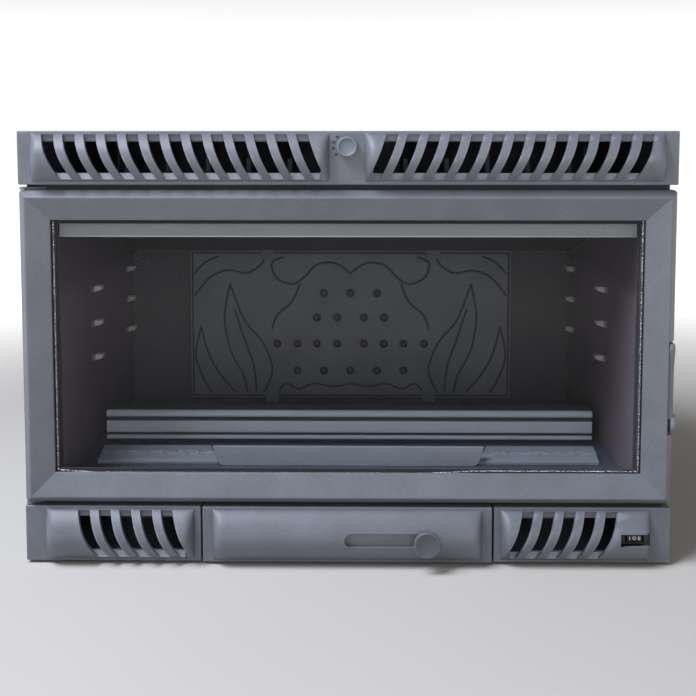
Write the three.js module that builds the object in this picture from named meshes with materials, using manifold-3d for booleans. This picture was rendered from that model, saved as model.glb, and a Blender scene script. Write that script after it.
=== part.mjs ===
// Cast-iron fireplace insert with a hinged glass door, hot-air grilles and an ash drawer.
// Millimetres. +X is to the right, the door faces -Y and +Z is up. The origin is the centre
// of the base's underside. "Depth" below is measured backwards from the facade's front plane.

import * as THREE from 'three';
import { mergeVertices } from 'three/addons/utils/BufferGeometryUtils.js';
import Module from 'manifold-3d';

const wasm = await Module();
wasm.setup();

// ---- Driving dimensions ---------------------------------------------------------------

const FACADE_W = 700;            // facade width
const BODY_DEPTH = 430;          // facade plane to the back of the casing
const SEAT = 0.3;                // clearance between seated pieces
const CAST_WALL = 8;             // cast firebox walls
const SHEET = 2;                 // casing sheet
const FACE_T = 6;                // cast grille plates
const RIM_T = 4;                 // rims of the cast grilles
const BULGE_WALL = 4;            // wall of the raised louvre pillows
const BULGE_RISE = 18;           // how far the pillows stand proud

const BOTTOM_Z = 2;              // underside of the lower row of castings
const BOTTOM_H = 61.5;           // height of the lower row
const DOOR_Z = 66.8;             // underside of the door
const DOOR_H = 340.2;            // height of the door
const TOP_GAP = 5.5;             // gap between door and top grille
const TOP_H = 57;                // height of the top grille
const DRAWER_W = 314;            // width of the drawer front
const FACE_GAP = 2;              // upright gaps in the lower row

const PLATE_D = 18;              // depth of the front plate's front face
const PLATE_T = 6;               // thickness of the front plate
const FIREBOX_W = FACADE_W - 74; // clear width of the firebox
const FLOOR_Z = 82;              // top of the firebox floor
const FLOOR_T = 6;               // thickness of the firebox floor
const FIREBOX_TOP_Z = 400;       // underside of the firebox top
const FIREBOX_BACK = 394;        // depth of the firebox's back wall

const DOOR_T = 22;               // door thickness, ridge to back
const DOOR_RIDGE = 6;            // how far the ridge stands in front of the facade plane
const DOOR_BEVEL_W = 7.5;        // outer bevel of the door frame
const DOOR_BEVEL_D = 10;         // depth of that bevel
const DOOR_MEMBER = 32.5;        // width of a frame member
const DOOR_CORNER_R = 4;         // rounding of the door's corners
const DOOR_LIP_D = 10;           // how far the inner edge lies behind the ridge
const DOOR_LIP_T = 3.3;          // thickness of the inner lip
const REBATE = 8.5;              // width of the glass rebate
const GLASS_T = 4;
const GASKET_T = 1.8;            // flat braid between lip and glass
const GASKET_SHOW = 4;           // how far the braid shows inside the lip
const ROPE_W = 9.4;              // door rope seal
const ROPE_IN = 9;               // rope groove, from the door's edge
const ROPE_DEEP = 4;             // depth of the rope groove

const HINGE_X = 4;               // hinge axis, inwards from the facade's left edge
const HINGE_D = 6;               // hinge axis, depth
const HINGE_PIN_R = 2.5;
const HINGE_PIN_L = 20;          // length of the pin inside the door

const LEVER_Z = 156;             // pivot of the door lever
const LEVER_D = 5;
const LEVER_L = 88;              // pivot to the lever's tip
const LEVER_T = 7.5;             // thickness of the lever
const LEVER_EYE_R = 10.3;
const LEVER_PIN_R = 3.5;
const NOTCH_W = 7.8;             // notch in the door's edge for the lever

const GUARD_W = FIREBOX_W - 24;  // log guard
const GUARD_H = 46;
const GUARD_D = 172;             // depth of its nose
const GRATE_W = 170;             // ash grate
const GRATE_L = 110;
const GRATE_D = 225;             // front edge of the grate
const FIREBACK_W = 457;
const FIREBACK_T = 8;
const FIREBACK_TOP_Z = 300;
const BAFFLE_T = 8;
const BAFFLE_ANGLE = 14;         // degrees, rising to the front
const BAFFLE_L = 240;

const FLUE_R = 75;               // clear radius of the flue socket
const FLUE_WALL = 6;
const FLUE_D = 250;              // depth of the flue's axis
const FLUE_TOP_Z = 469.2;
const SPINDLE_Z = 453;           // height of the damper spindle
const SPINDLE_R = 4;
const KNOB_R = 10.75;

const SLOT_LEAN = 18.6 / 45;     // sideways lean of every louvre slot, per unit of height
const SLOT_W = 13;
const SLOT_PITCH = 22.4;

const SLIDER_Z = 32.7;           // centre line of the air slider
const SLIDER_X = 85;             // slider knob, shut off
const SLIDER_TRAVEL = 80;
const SLIDER_SLOT_H = 15.4;
const SLIDER_KNOB_R = 14;

const PAN_W = 292;
const PAN_L = 330;
const PAN_T = 1.5;
const PAN_Z = 8;
const PAN_H = 48;

const FAN_X = FACADE_W / 2 - 105; // middle of each fan
const FAN_D = 150;               // depth of the fans' axis
const FAN_Z = 39;                // height of the fans' axis
const FAN_R = 24;                // impeller radius
const FAN_W = 50;                // impeller width
const BLADES = 14;
const SHAFT_R = 3;

const SWITCH_X = FACADE_W / 2 - 41; // middle of the fan switch
const SWITCH_W = 33;
const SWITCH_H = 14;

// ---- Derived planes ---------------------------------------------------------------------

const HALF_W = FACADE_W / 2;
const FACE_Y = -BODY_DEPTH / 2;
const CASE_HALF = HALF_W - 10;
const DOOR_TOP_Z = DOOR_Z + DOOR_H;
const TOP_Z = DOOR_TOP_Z + TOP_GAP;
const FACADE_TOP_Z = TOP_Z + TOP_H;
const BOTTOM_TOP_Z = BOTTOM_Z + BOTTOM_H;
const PLATE_BACK = PLATE_D + PLATE_T;
const CASE_TOP_Z = FACADE_TOP_Z - RIM_T;
const FIREBOX_HALF = FIREBOX_W / 2;
const BOX_HALF = FIREBOX_HALF + CAST_WALL;
const BOX_D0 = PLATE_BACK + SEAT;
const BOX_D1 = FIREBOX_BACK + CAST_WALL;
const DOOR_FRONT = -DOOR_RIDGE;
const DOOR_BACK = DOOR_FRONT + DOOR_T;
const HINGE_AXIS_X = -HALF_W + HINGE_X;

// ---- Geometry helpers ---------------------------------------------------------------------

const atDepth = (depth) => FACE_Y + depth;

// Signed volume of an indexed mesh, used to keep faces pointing outwards.
function signedVolume(position, index) {
  const a = new THREE.Vector3();
  const b = new THREE.Vector3();
  const c = new THREE.Vector3();
  let sum = 0;
  for (let i = 0; i < index.count; i += 3) {
    a.fromBufferAttribute(position, index.getX(i));
    b.fromBufferAttribute(position, index.getX(i + 1));
    c.fromBufferAttribute(position, index.getX(i + 2));
    sum += a.dot(b.cross(c));
  }
  return sum / 6;
}

// Turns a closed three.js geometry into a solid that can be cut and joined.
function solid(geometry) {
  const bare = geometry.clone();
  bare.deleteAttribute('normal');
  bare.deleteAttribute('uv');
  const merged = mergeVertices(bare, 1e-4);
  const corners = merged.index.array;
  const kept = [];
  for (let i = 0; i < corners.length; i += 3) {
    const [a, b, c] = [corners[i], corners[i + 1], corners[i + 2]];
    if (a !== b && b !== c && c !== a) kept.push(a, b, c);
  }
  const triVerts = new Uint32Array(kept);
  if (signedVolume(merged.attributes.position, merged.index) < 0) {
    for (let i = 0; i < triVerts.length; i += 3) {
      [triVerts[i], triVerts[i + 1]] = [triVerts[i + 1], triVerts[i]];
    }
  }
  const vertProperties = new Float32Array(merged.attributes.position.array);
  return new wasm.Manifold(new wasm.Mesh({ numProp: 3, vertProperties, triVerts }));
}

const join = (...solids) => solids.reduce((whole, next) => whole.add(next));
const cut = (whole, ...tools) => tools.reduce((rest, tool) => rest.subtract(tool), whole);

// A box between two X positions, two depths and two heights.
function block(x0, x1, d0, d1, z0, z1) {
  const box = new THREE.BoxGeometry(x1 - x0, d1 - d0, z1 - z0);
  box.translate((x0 + x1) / 2, atDepth((d0 + d1) / 2), (z0 + z1) / 2);
  return solid(box);
}

const toShape = (points) => new THREE.Shape(points.map(([u, v]) => new THREE.Vector2(u, v)));

// A (depth, height) outline extruded along X.
function alongX(outline, x0, x1, curveSegments = 6) {
  const shape = Array.isArray(outline) ? toShape(outline) : outline;
  const body = new THREE.ExtrudeGeometry(shape, { depth: x1 - x0, bevelEnabled: false, curveSegments });
  body.applyMatrix4(new THREE.Matrix4().set(0, 0, 1, x0, 1, 0, 0, FACE_Y, 0, 1, 0, 0, 0, 0, 0, 1));
  return solid(body);
}

// An (x, height) outline extruded from one depth to another.
function alongY(outline, d0, d1, curveSegments = 6) {
  const shape = Array.isArray(outline) ? toShape(outline) : outline;
  const body = new THREE.ExtrudeGeometry(shape, { depth: d1 - d0, bevelEnabled: false, curveSegments });
  body.rotateX(Math.PI / 2);
  body.translate(0, atDepth(d1), 0);
  return solid(body);
}

// An (x, depth) outline extruded upwards.
function alongZ(outline, z0, z1, curveSegments = 6) {
  const shape = Array.isArray(outline) ? toShape(outline) : outline;
  const body = new THREE.ExtrudeGeometry(shape, { depth: z1 - z0, bevelEnabled: false, curveSegments });
  body.translate(0, FACE_Y, z0);
  return solid(body);
}

// A round bar along an axis ('x', 'y' or 'z'), from one end's centre to its length.
function rod(axis, x, depth, z, radius, length, sides = 16) {
  const bar = new THREE.CylinderGeometry(radius, radius, length, sides);
  if (axis === 'x') bar.rotateZ(Math.PI / 2);
  if (axis === 'z') bar.rotateX(Math.PI / 2);
  const half = length / 2;
  const shift = { x: [half, 0, 0], y: [0, half, 0], z: [0, 0, half] }[axis];
  bar.translate(x + shift[0], atDepth(depth) + shift[1], z + shift[2]);
  return solid(bar);
}

// A turned piece: (radius, offset) outline about an axis through a point.
function turned(axis, x, depth, z, outline, sides = 24) {
  const points = outline.map(([r, offset]) => new THREE.Vector2(r, offset));
  const body = new THREE.LatheGeometry(points, sides);
  if (axis === 'x') body.rotateZ(-Math.PI / 2);
  if (axis === 'z') body.rotateX(Math.PI / 2);
  body.translate(x, atDepth(depth), z);
  return solid(body);
}

// A closed body through rings of points; 'around' joins the last ring to the first.
function loft(rings, around = false) {
  const count = rings[0].length;
  const vertices = rings.flat().flatMap((p) => [p.x, p.y, p.z]);
  const faces = [];
  const spans = around ? rings.length : rings.length - 1;
  for (let r = 0; r < spans; r += 1) {
    const low = r * count;
    const high = ((r + 1) % rings.length) * count;
    for (let i = 0; i < count; i += 1) {
      const j = (i + 1) % count;
      faces.push(low + i, low + j, high + j, low + i, high + j, high + i);
    }
  }
  if (!around) {
    const last = (rings.length - 1) * count;
    for (let i = 1; i < count - 1; i += 1) {
      faces.push(0, i + 1, i);
      faces.push(last, last + i, last + i + 1);
    }
  }
  const body = new THREE.BufferGeometry();
  body.setAttribute('position', new THREE.Float32BufferAttribute(vertices, 3));
  body.setIndex(faces);
  return solid(body);
}

// A mitred frame round a rectangle: the outline is (inset from the edge, depth).
function mitredFrame(x0, x1, z0, z1, outline, cornerR = 0) {
  const steps = cornerR > 0 ? 4 : 1;
  const rings = outline.map(([inset, depth]) => {
    const ring = [];
    const r = Math.max(cornerR - inset, cornerR / 3);
    const corners = [[x1, z1, 0], [x0, z1, 1], [x0, z0, 2], [x1, z0, 3]];
    for (const [cx, cz, quarter] of corners) {
      const sx = cx === x1 ? -1 : 1;
      const sz = cz === z1 ? -1 : 1;
      for (let k = 0; k < steps; k += 1) {
        const angle = (quarter + (steps > 1 ? k / (steps - 1) : 0.5)) * Math.PI / 2;
        const px = cx + sx * (inset + (steps > 1 ? r : 0)) + (steps > 1 ? r * Math.cos(angle) : 0);
        const pz = cz + sz * (inset + (steps > 1 ? r : 0)) + (steps > 1 ? r * Math.sin(angle) : 0);
        ring.push(new THREE.Vector3(px, atDepth(depth), pz));
      }
    }
    return ring;
  });
  return loft(rings, true);
}

// ---- Materials ------------------------------------------------------------------------------

const finish = (color, roughness, metalness) => new THREE.MeshStandardMaterial({ color, roughness, metalness });
const PAINTED_CAST = finish(0x5f666f, 0.62, 0.35);
const DARK_CAST = finish(0x3b3d43, 0.7, 0.3);
const PAINTED_SHEET = finish(0x4a4e55, 0.6, 0.3);
const GALVANISED = finish(0x9a9fa3, 0.45, 0.8);
const BRIGHT_STEEL = finish(0xb4b6b8, 0.35, 0.9);
const GLASS = finish(0x8d9396, 0.05, 0);
const BRAID = finish(0x2b2c2e, 0.95, 0);
const BLACK_PLASTIC = finish(0x141416, 0.4, 0);

const insert = new THREE.Group();

function add(name, material, body) {
  const { vertProperties, triVerts } = body.getMesh();
  const geometry = new THREE.BufferGeometry();
  geometry.setAttribute('position', new THREE.Float32BufferAttribute(vertProperties, 3));
  geometry.setIndex(new THREE.Uint32BufferAttribute(triVerts, 1));
  geometry.computeVertexNormals();
  const mesh = new THREE.Mesh(geometry, material);
  mesh.name = name;
  insert.add(mesh);
}

// ---- Sheet-metal casing ------------------------------------------------------------------------

const CASE_BASE_TOP = SHEET + 0.5;
const CASE_FLANGE = 14;
const CASE_BEND_R = 10;
const FLUE_HOLE_R = FLUE_R + FLUE_WALL + 2;

// Base tray with turned-up flanges at both sides and the back.
const TRAY_HALF = CASE_HALF - SHEET - SEAT;
const TRAY_D1 = BODY_DEPTH - SHEET - SEAT;
add('base_tray', PAINTED_SHEET, join(
  block(-TRAY_HALF, TRAY_HALF, BOX_D0, TRAY_D1, 0, CASE_BASE_TOP),
  block(-TRAY_HALF, SHEET - TRAY_HALF, BOX_D0, TRAY_D1, 0, CASE_FLANGE),
  block(TRAY_HALF - SHEET, TRAY_HALF, BOX_D0, TRAY_D1, 0, CASE_FLANGE),
  block(-TRAY_HALF, TRAY_HALF, TRAY_D1 - SHEET, TRAY_D1, 0, CASE_FLANGE),
));

// Sides and top are one folded sheet with rounded bends and a hole for the flue.
function archOutline(half, top, bend) {
  const shape = new THREE.Shape();
  shape.moveTo(-half, 0);
  shape.lineTo(half, 0);
  shape.lineTo(half, top - bend);
  shape.absarc(half - bend, top - bend, bend, 0, Math.PI / 2, false);
  shape.lineTo(bend - half, top);
  shape.absarc(bend - half, top - bend, bend, Math.PI / 2, Math.PI, false);
  shape.closePath();
  return shape;
}
add('casing_wrap', PAINTED_SHEET, cut(
  alongY(archOutline(CASE_HALF, CASE_TOP_Z, CASE_BEND_R), BOX_D0, BODY_DEPTH, 4),
  alongY(archOutline(CASE_HALF - SHEET, CASE_TOP_Z - SHEET, CASE_BEND_R - SHEET), 0, BODY_DEPTH + 1, 4),
  block(-CASE_HALF, CASE_HALF, 0, BODY_DEPTH + 1, -1, 0.5),
  rod('z', 0, FLUE_D, CASE_TOP_Z - 10, FLUE_HOLE_R, 20, 40),
));

// Back panel, dished rim inwards, with a hole for the mains gland.
const BACK_HALF = CASE_HALF - SHEET - SEAT;
const BACK_TOP = CASE_TOP_Z - SHEET - SEAT;
const GLAND_X = HALF_W - 100;
const GLAND_Z = 40;
const GLAND_R = 8;
add('casing_back', PAINTED_SHEET, cut(
  alongY(archOutline(BACK_HALF, BACK_TOP, CASE_BEND_R), BODY_DEPTH - SHEET, BODY_DEPTH, 4),
  rod('y', GLAND_X, BODY_DEPTH - 10, GLAND_Z, GLAND_R + SEAT, 20),
));

// ---- Front plate and its openings -----------------------------------------------------------------

const FIRE_Z0 = FLOOR_Z + 2;
const FIRE_Z1 = FIREBOX_TOP_Z - 8;
const VENT_HALF = HALF_W - 22;
const VENT_Z0 = TOP_Z + 7;
const VENT_Z1 = FACADE_TOP_Z - 11;
const DRAWER_HALF = DRAWER_W / 2;
const DRAWER_HOLE = DRAWER_HALF - RIM_T - 1;
const LOW_VENT_X0 = DRAWER_HALF + FACE_GAP + RIM_T + 3;
const LOW_Z0 = BOTTOM_Z + RIM_T + 1;
const LOW_Z1 = BOTTOM_TOP_Z - RIM_T - 1;
const PLATE_HALF = HALF_W - RIM_T;
const aside = (side, x0, x1) => (side < 0 ? [-x1, -x0] : [x0, x1]);

const lowVent = (side) => block(...aside(side, LOW_VENT_X0, VENT_HALF), 0, PLATE_BACK + 1, LOW_Z0, LOW_Z1);
add('front_frame', DARK_CAST, cut(
  block(-PLATE_HALF, PLATE_HALF, PLATE_D, PLATE_BACK, BOTTOM_Z, FACADE_TOP_Z),
  block(-FIREBOX_HALF, FIREBOX_HALF, 0, PLATE_BACK + 1, FIRE_Z0, FIRE_Z1),
  block(-VENT_HALF, VENT_HALF, 0, PLATE_BACK + 1, VENT_Z0, VENT_Z1),
  block(-DRAWER_HOLE, DRAWER_HOLE, 0, PLATE_BACK + 1, LOW_Z0, LOW_Z1),
  lowVent(-1),
  lowVent(1),
));

// ---- Cast firebox -----------------------------------------------------------------------------

const GRATE_REBATE = 6;
const GRATE_LIP = 3;
const grateHalf = GRATE_W / 2;
add('firebox_floor', DARK_CAST, cut(
  block(-BOX_HALF, BOX_HALF, BOX_D0, BOX_D1, FLOOR_Z - FLOOR_T, FLOOR_Z),
  block(-grateHalf, grateHalf, GRATE_D, GRATE_D + GRATE_L, FLOOR_Z - 10, FLOOR_Z + 1),
  block(
    -grateHalf - GRATE_REBATE, grateHalf + GRATE_REBATE,
    GRATE_D - GRATE_REBATE, GRATE_D + GRATE_L + GRATE_REBATE, FLOOR_Z - GRATE_LIP, FLOOR_Z + 1,
  ),
));

// Side walls carry rows of lugs inside, baffle rails, and cooling ribs outside.
const LUG_DEPTHS = [160, 350];
const LUG_ROWS = 3;
const LUG_Z = 195;
const LUG_PITCH = 42;
const LUG_REACH = 13;
const LUG_W = 12;
const LUG_H = 6;
const RIBS = 6;
const RIB_H = 12;
const RIB_T = 5;
const RAIL_REACH = 10;
const RAIL_H = 6;
const BAFFLE_D1 = FIREBOX_BACK - FIREBACK_T - 8;
const BAFFLE_UNDER_Z = FIREBACK_TOP_Z + 2;
const baffleTurn = BAFFLE_ANGLE * Math.PI / 180;

// A strip lying along the baffle's slope, given its distance below and thickness.
function sloped(x0, x1, offset, thickness, start, length) {
  const along = [-Math.cos(baffleTurn), Math.sin(baffleTurn)];
  const up = [Math.sin(baffleTurn), Math.cos(baffleTurn)];
  const point = (run, rise) => [
    BAFFLE_D1 + along[0] * run + up[0] * rise,
    BAFFLE_UNDER_Z + along[1] * run + up[1] * rise,
  ];
  return alongX([
    point(start, offset), point(start + length, offset),
    point(start + length, offset + thickness), point(start, offset + thickness),
  ], x0, x1);
}

function fireboxSide(side) {
  const wallTop = FIREBOX_TOP_Z - SEAT;
  const wall = block(...aside(side, FIREBOX_HALF, BOX_HALF), BOX_D0, BOX_D1, FLOOR_Z + SEAT, wallTop);
  const pieces = [wall];
  for (const depth of LUG_DEPTHS) {
    for (let row = 0; row < LUG_ROWS; row += 1) {
      const z = LUG_Z + row * LUG_PITCH;
      const tip = side * (FIREBOX_HALF - LUG_REACH);
      const root = side * (FIREBOX_HALF + 1);
      pieces.push(alongY(
        [[root, z - LUG_H], [root, z + LUG_H / 2], [tip, z + LUG_H / 2], [tip, z - LUG_H / 4]],
        depth - LUG_W / 2, depth + LUG_W / 2,
      ));
    }
  }
  for (let k = 0; k < RIBS; k += 1) {
    const depth = BOX_D0 + (BOX_D1 - BOX_D0) * (k + 0.5) / RIBS;
    pieces.push(block(
      ...aside(side, BOX_HALF - 1, BOX_HALF + RIB_H), depth - RIB_T / 2, depth + RIB_T / 2,
      FLOOR_Z + 20, FIREBOX_TOP_Z - 20,
    ));
  }
  pieces.push(sloped(
    ...aside(side, FIREBOX_HALF - RAIL_REACH, FIREBOX_HALF + 1),
    -SEAT - RAIL_H, RAIL_H, 12, BAFFLE_L - 24,
  ));
  return join(...pieces);
}
add('firebox_side_left', DARK_CAST, fireboxSide(-1));
add('firebox_side_right', DARK_CAST, fireboxSide(1));

// Back wall with the hooks that hold the fireback plate, and a ledge under it.
const HOOK_W = 19;
const HOOK_X = [118, 112];
const LEDGE_H = 5;
const firebackHalf = FIREBACK_W / 2;
const FIREBACK_D0 = FIREBOX_BACK - SEAT - FIREBACK_T;
const FIREBACK_Z0 = FLOOR_Z + SEAT + LEDGE_H + SEAT;
const HOOK_T = 4;
const HOOK_LAP = 11;

function hook(x, z0, z1, lip0, lip1) {
  const reach = FIREBACK_D0 - SEAT - HOOK_T;
  return join(
    block(x - HOOK_W / 2, x + HOOK_W / 2, reach, FIREBOX_BACK + 1, z0, z1),
    block(x - HOOK_W / 2, x + HOOK_W / 2, reach, reach + HOOK_T, lip0, lip1),
  );
}
const backHalf = FIREBOX_HALF - SEAT;
const hookTop = FIREBACK_TOP_Z + SEAT;
const ledgeTop = FIREBACK_Z0 - SEAT;
add('firebox_back', DARK_CAST, join(
  block(-backHalf, backHalf, FIREBOX_BACK, BOX_D1, FLOOR_Z + SEAT, FIREBOX_TOP_Z - SEAT),
  ...[-1, 1].flatMap((side) => [
    hook(side * HOOK_X[0], hookTop, hookTop + HOOK_T, FIREBACK_TOP_Z - HOOK_LAP, hookTop + HOOK_T),
    hook(side * HOOK_X[1], ledgeTop - LEDGE_H, ledgeTop, ledgeTop - LEDGE_H, FIREBACK_Z0 + HOOK_LAP),
  ]),
));

// Fireback plate with countersunk air holes, laid out in four rows about the middle.
const AIR_R = 3.3;
const AIR_SINK_R = 6.8;
const AIR_ROWS = [
  { z: 239, x: [-38, 0, 38] },
  { z: 204, x: [-48, -19, 19, 48] },
  { z: 166, x: [-105, -76, -48, -19, 19, 48, 76, 105] },
  { z: 127, x: [-76, -38, 0, 38, 76] },
];
function airHole(x, z) {
  return turned('y', x, FIREBACK_D0, z, [
    [0, -1], [AIR_SINK_R + 1, -1], [AIR_R, AIR_SINK_R - AIR_R], [AIR_R, FIREBACK_T + 1], [0, FIREBACK_T + 1],
  ], 10);
}
add('fireback_plate', DARK_CAST, cut(
  block(-firebackHalf, firebackHalf, FIREBACK_D0, FIREBOX_BACK - SEAT, FIREBACK_Z0, FIREBACK_TOP_Z),
  ...AIR_ROWS.flatMap((row) => row.x.map((x) => airHole(x, row.z))),
));

// Baffle resting on the side rails.
add('baffle_plate', DARK_CAST, sloped(1 - FIREBOX_HALF, FIREBOX_HALF - 1, 0, BAFFLE_T, 0, BAFFLE_L));

// Top of the firebox: a flue opening and ribs in the hot-air path.
const TOP_T = 8;
const RIB_X = [63, 108, 152, 196, 241];
const TALL_RIB = 2;
const TOP_RIB_H = 32;
const TALL_RIB_H = 46;
const TOP_RIB_D1 = 120;
const topFace = FIREBOX_TOP_Z + TOP_T;
add('firebox_top', DARK_CAST, cut(
  join(
    block(-BOX_HALF, BOX_HALF, BOX_D0, BOX_D1, FIREBOX_TOP_Z, topFace),
    ...RIB_X.flatMap((x, k) => [-1, 1].map((side) => {
      const high = topFace + (k === TALL_RIB ? TALL_RIB_H : TOP_RIB_H);
      const outline = [
        [BOX_D0 + 6, topFace - 1], [TOP_RIB_D1, topFace - 1], [TOP_RIB_D1 - 24, high], [BOX_D0 + 14, high],
      ];
      return alongX(outline, side * x - RIB_T / 2, side * x + RIB_T / 2);
    })),
  ),
  rod('z', 0, FLUE_D, FIREBOX_TOP_Z - 10, FLUE_R, 40, 40),
));

// Flue socket: a flanged ring on the firebox top, bored across for the damper spindle.
const FLUE_FLANGE_R = FLUE_R + 22;
const collarFoot = topFace + SEAT;
add('flue_collar', PAINTED_CAST, cut(
  turned('z', 0, FLUE_D, 0, [
    [FLUE_R, collarFoot], [FLUE_FLANGE_R, collarFoot], [FLUE_FLANGE_R, collarFoot + 6],
    [FLUE_R + FLUE_WALL, collarFoot + 8], [FLUE_R + FLUE_WALL, FLUE_TOP_Z - 3],
    [FLUE_R + FLUE_WALL - 2, FLUE_TOP_Z], [FLUE_R, FLUE_TOP_Z], [FLUE_R, collarFoot],
  ], 32),
  rod('y', 0, FLUE_D - 120, SPINDLE_Z, SPINDLE_R + SEAT, 240),
));

// Air-wash deflector: a folded sheet across the top of the fire opening.
const WASH_Z0 = 355;
const WASH_D = PLATE_D + 1;
const WASH_RETURN = 22;
const washHalf = FIREBOX_HALF - 1;
const washTop = FIRE_Z1 - SEAT;
add('air_wash_deflector', GALVANISED, alongX([
  [WASH_D, WASH_Z0], [WASH_D, washTop], [PLATE_BACK + 12, washTop], [PLATE_BACK + 12, washTop - SHEET],
  [WASH_D + SHEET, washTop - SHEET], [WASH_D + SHEET, WASH_Z0 + SHEET], [WASH_D + WASH_RETURN, WASH_Z0 + SHEET],
  [WASH_D + WASH_RETURN, WASH_Z0],
], -washHalf, washHalf));

// ---- Hearth castings ---------------------------------------------------------------------------

// Ash grate: a lipped plate with a row of slots.
const GRATE_BARS = 9;
const GRATE_SLOT = 9;
const grateZ = FLOOR_Z - GRATE_LIP + SEAT;
const lipHalf = grateHalf + GRATE_REBATE - SEAT;
add('ash_grate', DARK_CAST, cut(
  join(
    block(
      -lipHalf, lipHalf, GRATE_D - GRATE_REBATE + SEAT, GRATE_D + GRATE_L + GRATE_REBATE - SEAT, grateZ, FLOOR_Z + 2,
    ),
    block(SEAT - grateHalf, grateHalf - SEAT, GRATE_D + SEAT, GRATE_D + GRATE_L - SEAT, FLOOR_Z - FLOOR_T, FLOOR_Z),
  ),
  ...Array.from({ length: GRATE_BARS }, (_, k) => {
    const x = -grateHalf + GRATE_W * (k + 0.5) / GRATE_BARS;
    return block(x - GRATE_SLOT / 2, x + GRATE_SLOT / 2, GRATE_D + 8, GRATE_D + GRATE_L - 8, 0, FLOOR_Z + 9);
  }),
));

// Log guard: one long moulding with a rounded nose, two grooves and a bead.
const guardHalf = GUARD_W / 2;
const GUARD_FOOT = FLOOR_Z + SEAT;
function guardOutline() {
  const top = GUARD_FOOT + GUARD_H;
  const shape = new THREE.Shape();
  shape.moveTo(GUARD_D + 16, top);
  shape.lineTo(GUARD_D + 2, top - 6);
  shape.absarc(GUARD_D + 3.5, top - 9.5, 3.8, Math.PI * 0.62, Math.PI * 1.45, false);
  shape.lineTo(GUARD_D + 4, top - 16);
  shape.lineTo(GUARD_D + 1, top - 17.5);
  shape.lineTo(GUARD_D + 1, top - 31);
  shape.lineTo(GUARD_D + 4, top - 33);
  shape.absarc(GUARD_D + 3, top - 37, 3, Math.PI / 2, Math.PI * 1.5, false);
  shape.lineTo(GUARD_D + 4, GUARD_FOOT);
  shape.lineTo(GUARD_D + 24, GUARD_FOOT);
  shape.lineTo(GUARD_D + 24, GUARD_FOOT + 5);
  shape.lineTo(GUARD_D + 12, GUARD_FOOT + 7);
  shape.lineTo(GUARD_D + 12, top - 10);
  shape.lineTo(GUARD_D + 20, top - 4);
  shape.closePath();
  return shape;
}
add('log_guard', PAINTED_CAST, alongX(guardOutline(), -guardHalf, guardHalf, 5));

// Middle apron standing on the floor in front of two sloping side blocks.
const APRON_D = 84;
const APRON_T = 5;
const APRON_H = 22.4;
const APRON_TOP_HALF = 157;
const APRON_FOOT_HALF = 151;
const APRON_CORNER = 8;
function apronOutline() {
  const z0 = FLOOR_Z + SEAT;
  const z1 = z0 + APRON_H;
  const shape = new THREE.Shape();
  shape.moveTo(-APRON_TOP_HALF, z1);
  shape.lineTo(-APRON_FOOT_HALF - 2, z0 + APRON_CORNER);
  shape.quadraticCurveTo(-APRON_FOOT_HALF, z0, APRON_CORNER - APRON_FOOT_HALF, z0);
  shape.lineTo(APRON_FOOT_HALF - APRON_CORNER, z0);
  shape.quadraticCurveTo(APRON_FOOT_HALF, z0, APRON_FOOT_HALF + 2, z0 + APRON_CORNER);
  shape.lineTo(APRON_TOP_HALF, z1);
  shape.closePath();
  return shape;
}
add('hearth_apron', PAINTED_CAST, alongY(apronOutline(), APRON_D, APRON_D + APRON_T, 4));

const RAMP_D0 = APRON_D + APRON_T + SEAT;
const RAMP_L = 36;
const RAMP_X0 = 152;
const RAMP_X1 = 165;
const RAMP_X2 = FIREBOX_HALF - 22;
const RAMP_FRONT_H = 4;
const RAMP_BACK_H = 13;
function ramp(side) {
  const z = FLOOR_Z + SEAT;
  const ring = (depth, x0, x1, height) => [
    [x0, z], [x1, z], [x1, z + height], [x0, z + height],
  ].map(([x, h]) => new THREE.Vector3(side * x, atDepth(depth), h));
  return loft([
    ring(RAMP_D0, RAMP_X0, RAMP_X2, RAMP_FRONT_H),
    ring(RAMP_D0 + RAMP_L / 2, (RAMP_X0 + RAMP_X1) / 2, RAMP_X2 + 1, RAMP_BACK_H - 2.5),
    ring(RAMP_D0 + RAMP_L, RAMP_X1, RAMP_X2 + 1, RAMP_BACK_H),
  ]);
}
add('hearth_block_left', PAINTED_CAST, ramp(-1));
add('hearth_block_right', PAINTED_CAST, ramp(1));

// ---- Door ------------------------------------------------------------------------------------------

const NOTCH_X = HALF_W - NOTCH_W;
const NOTCH_Z0 = LEVER_Z - LEVER_EYE_R - 1.5;
const NOTCH_Z1 = LEVER_Z + LEVER_L + 2;
const LIP_FRONT = DOOR_FRONT + DOOR_LIP_D;
const LIP_BACK = LIP_FRONT + DOOR_LIP_T;
const REBATE_IN = DOOR_MEMBER - REBATE;
const DOOR_X = [-HALF_W, HALF_W, DOOR_Z, DOOR_TOP_Z];
const BORE_R = HINGE_PIN_R + SEAT;

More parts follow.
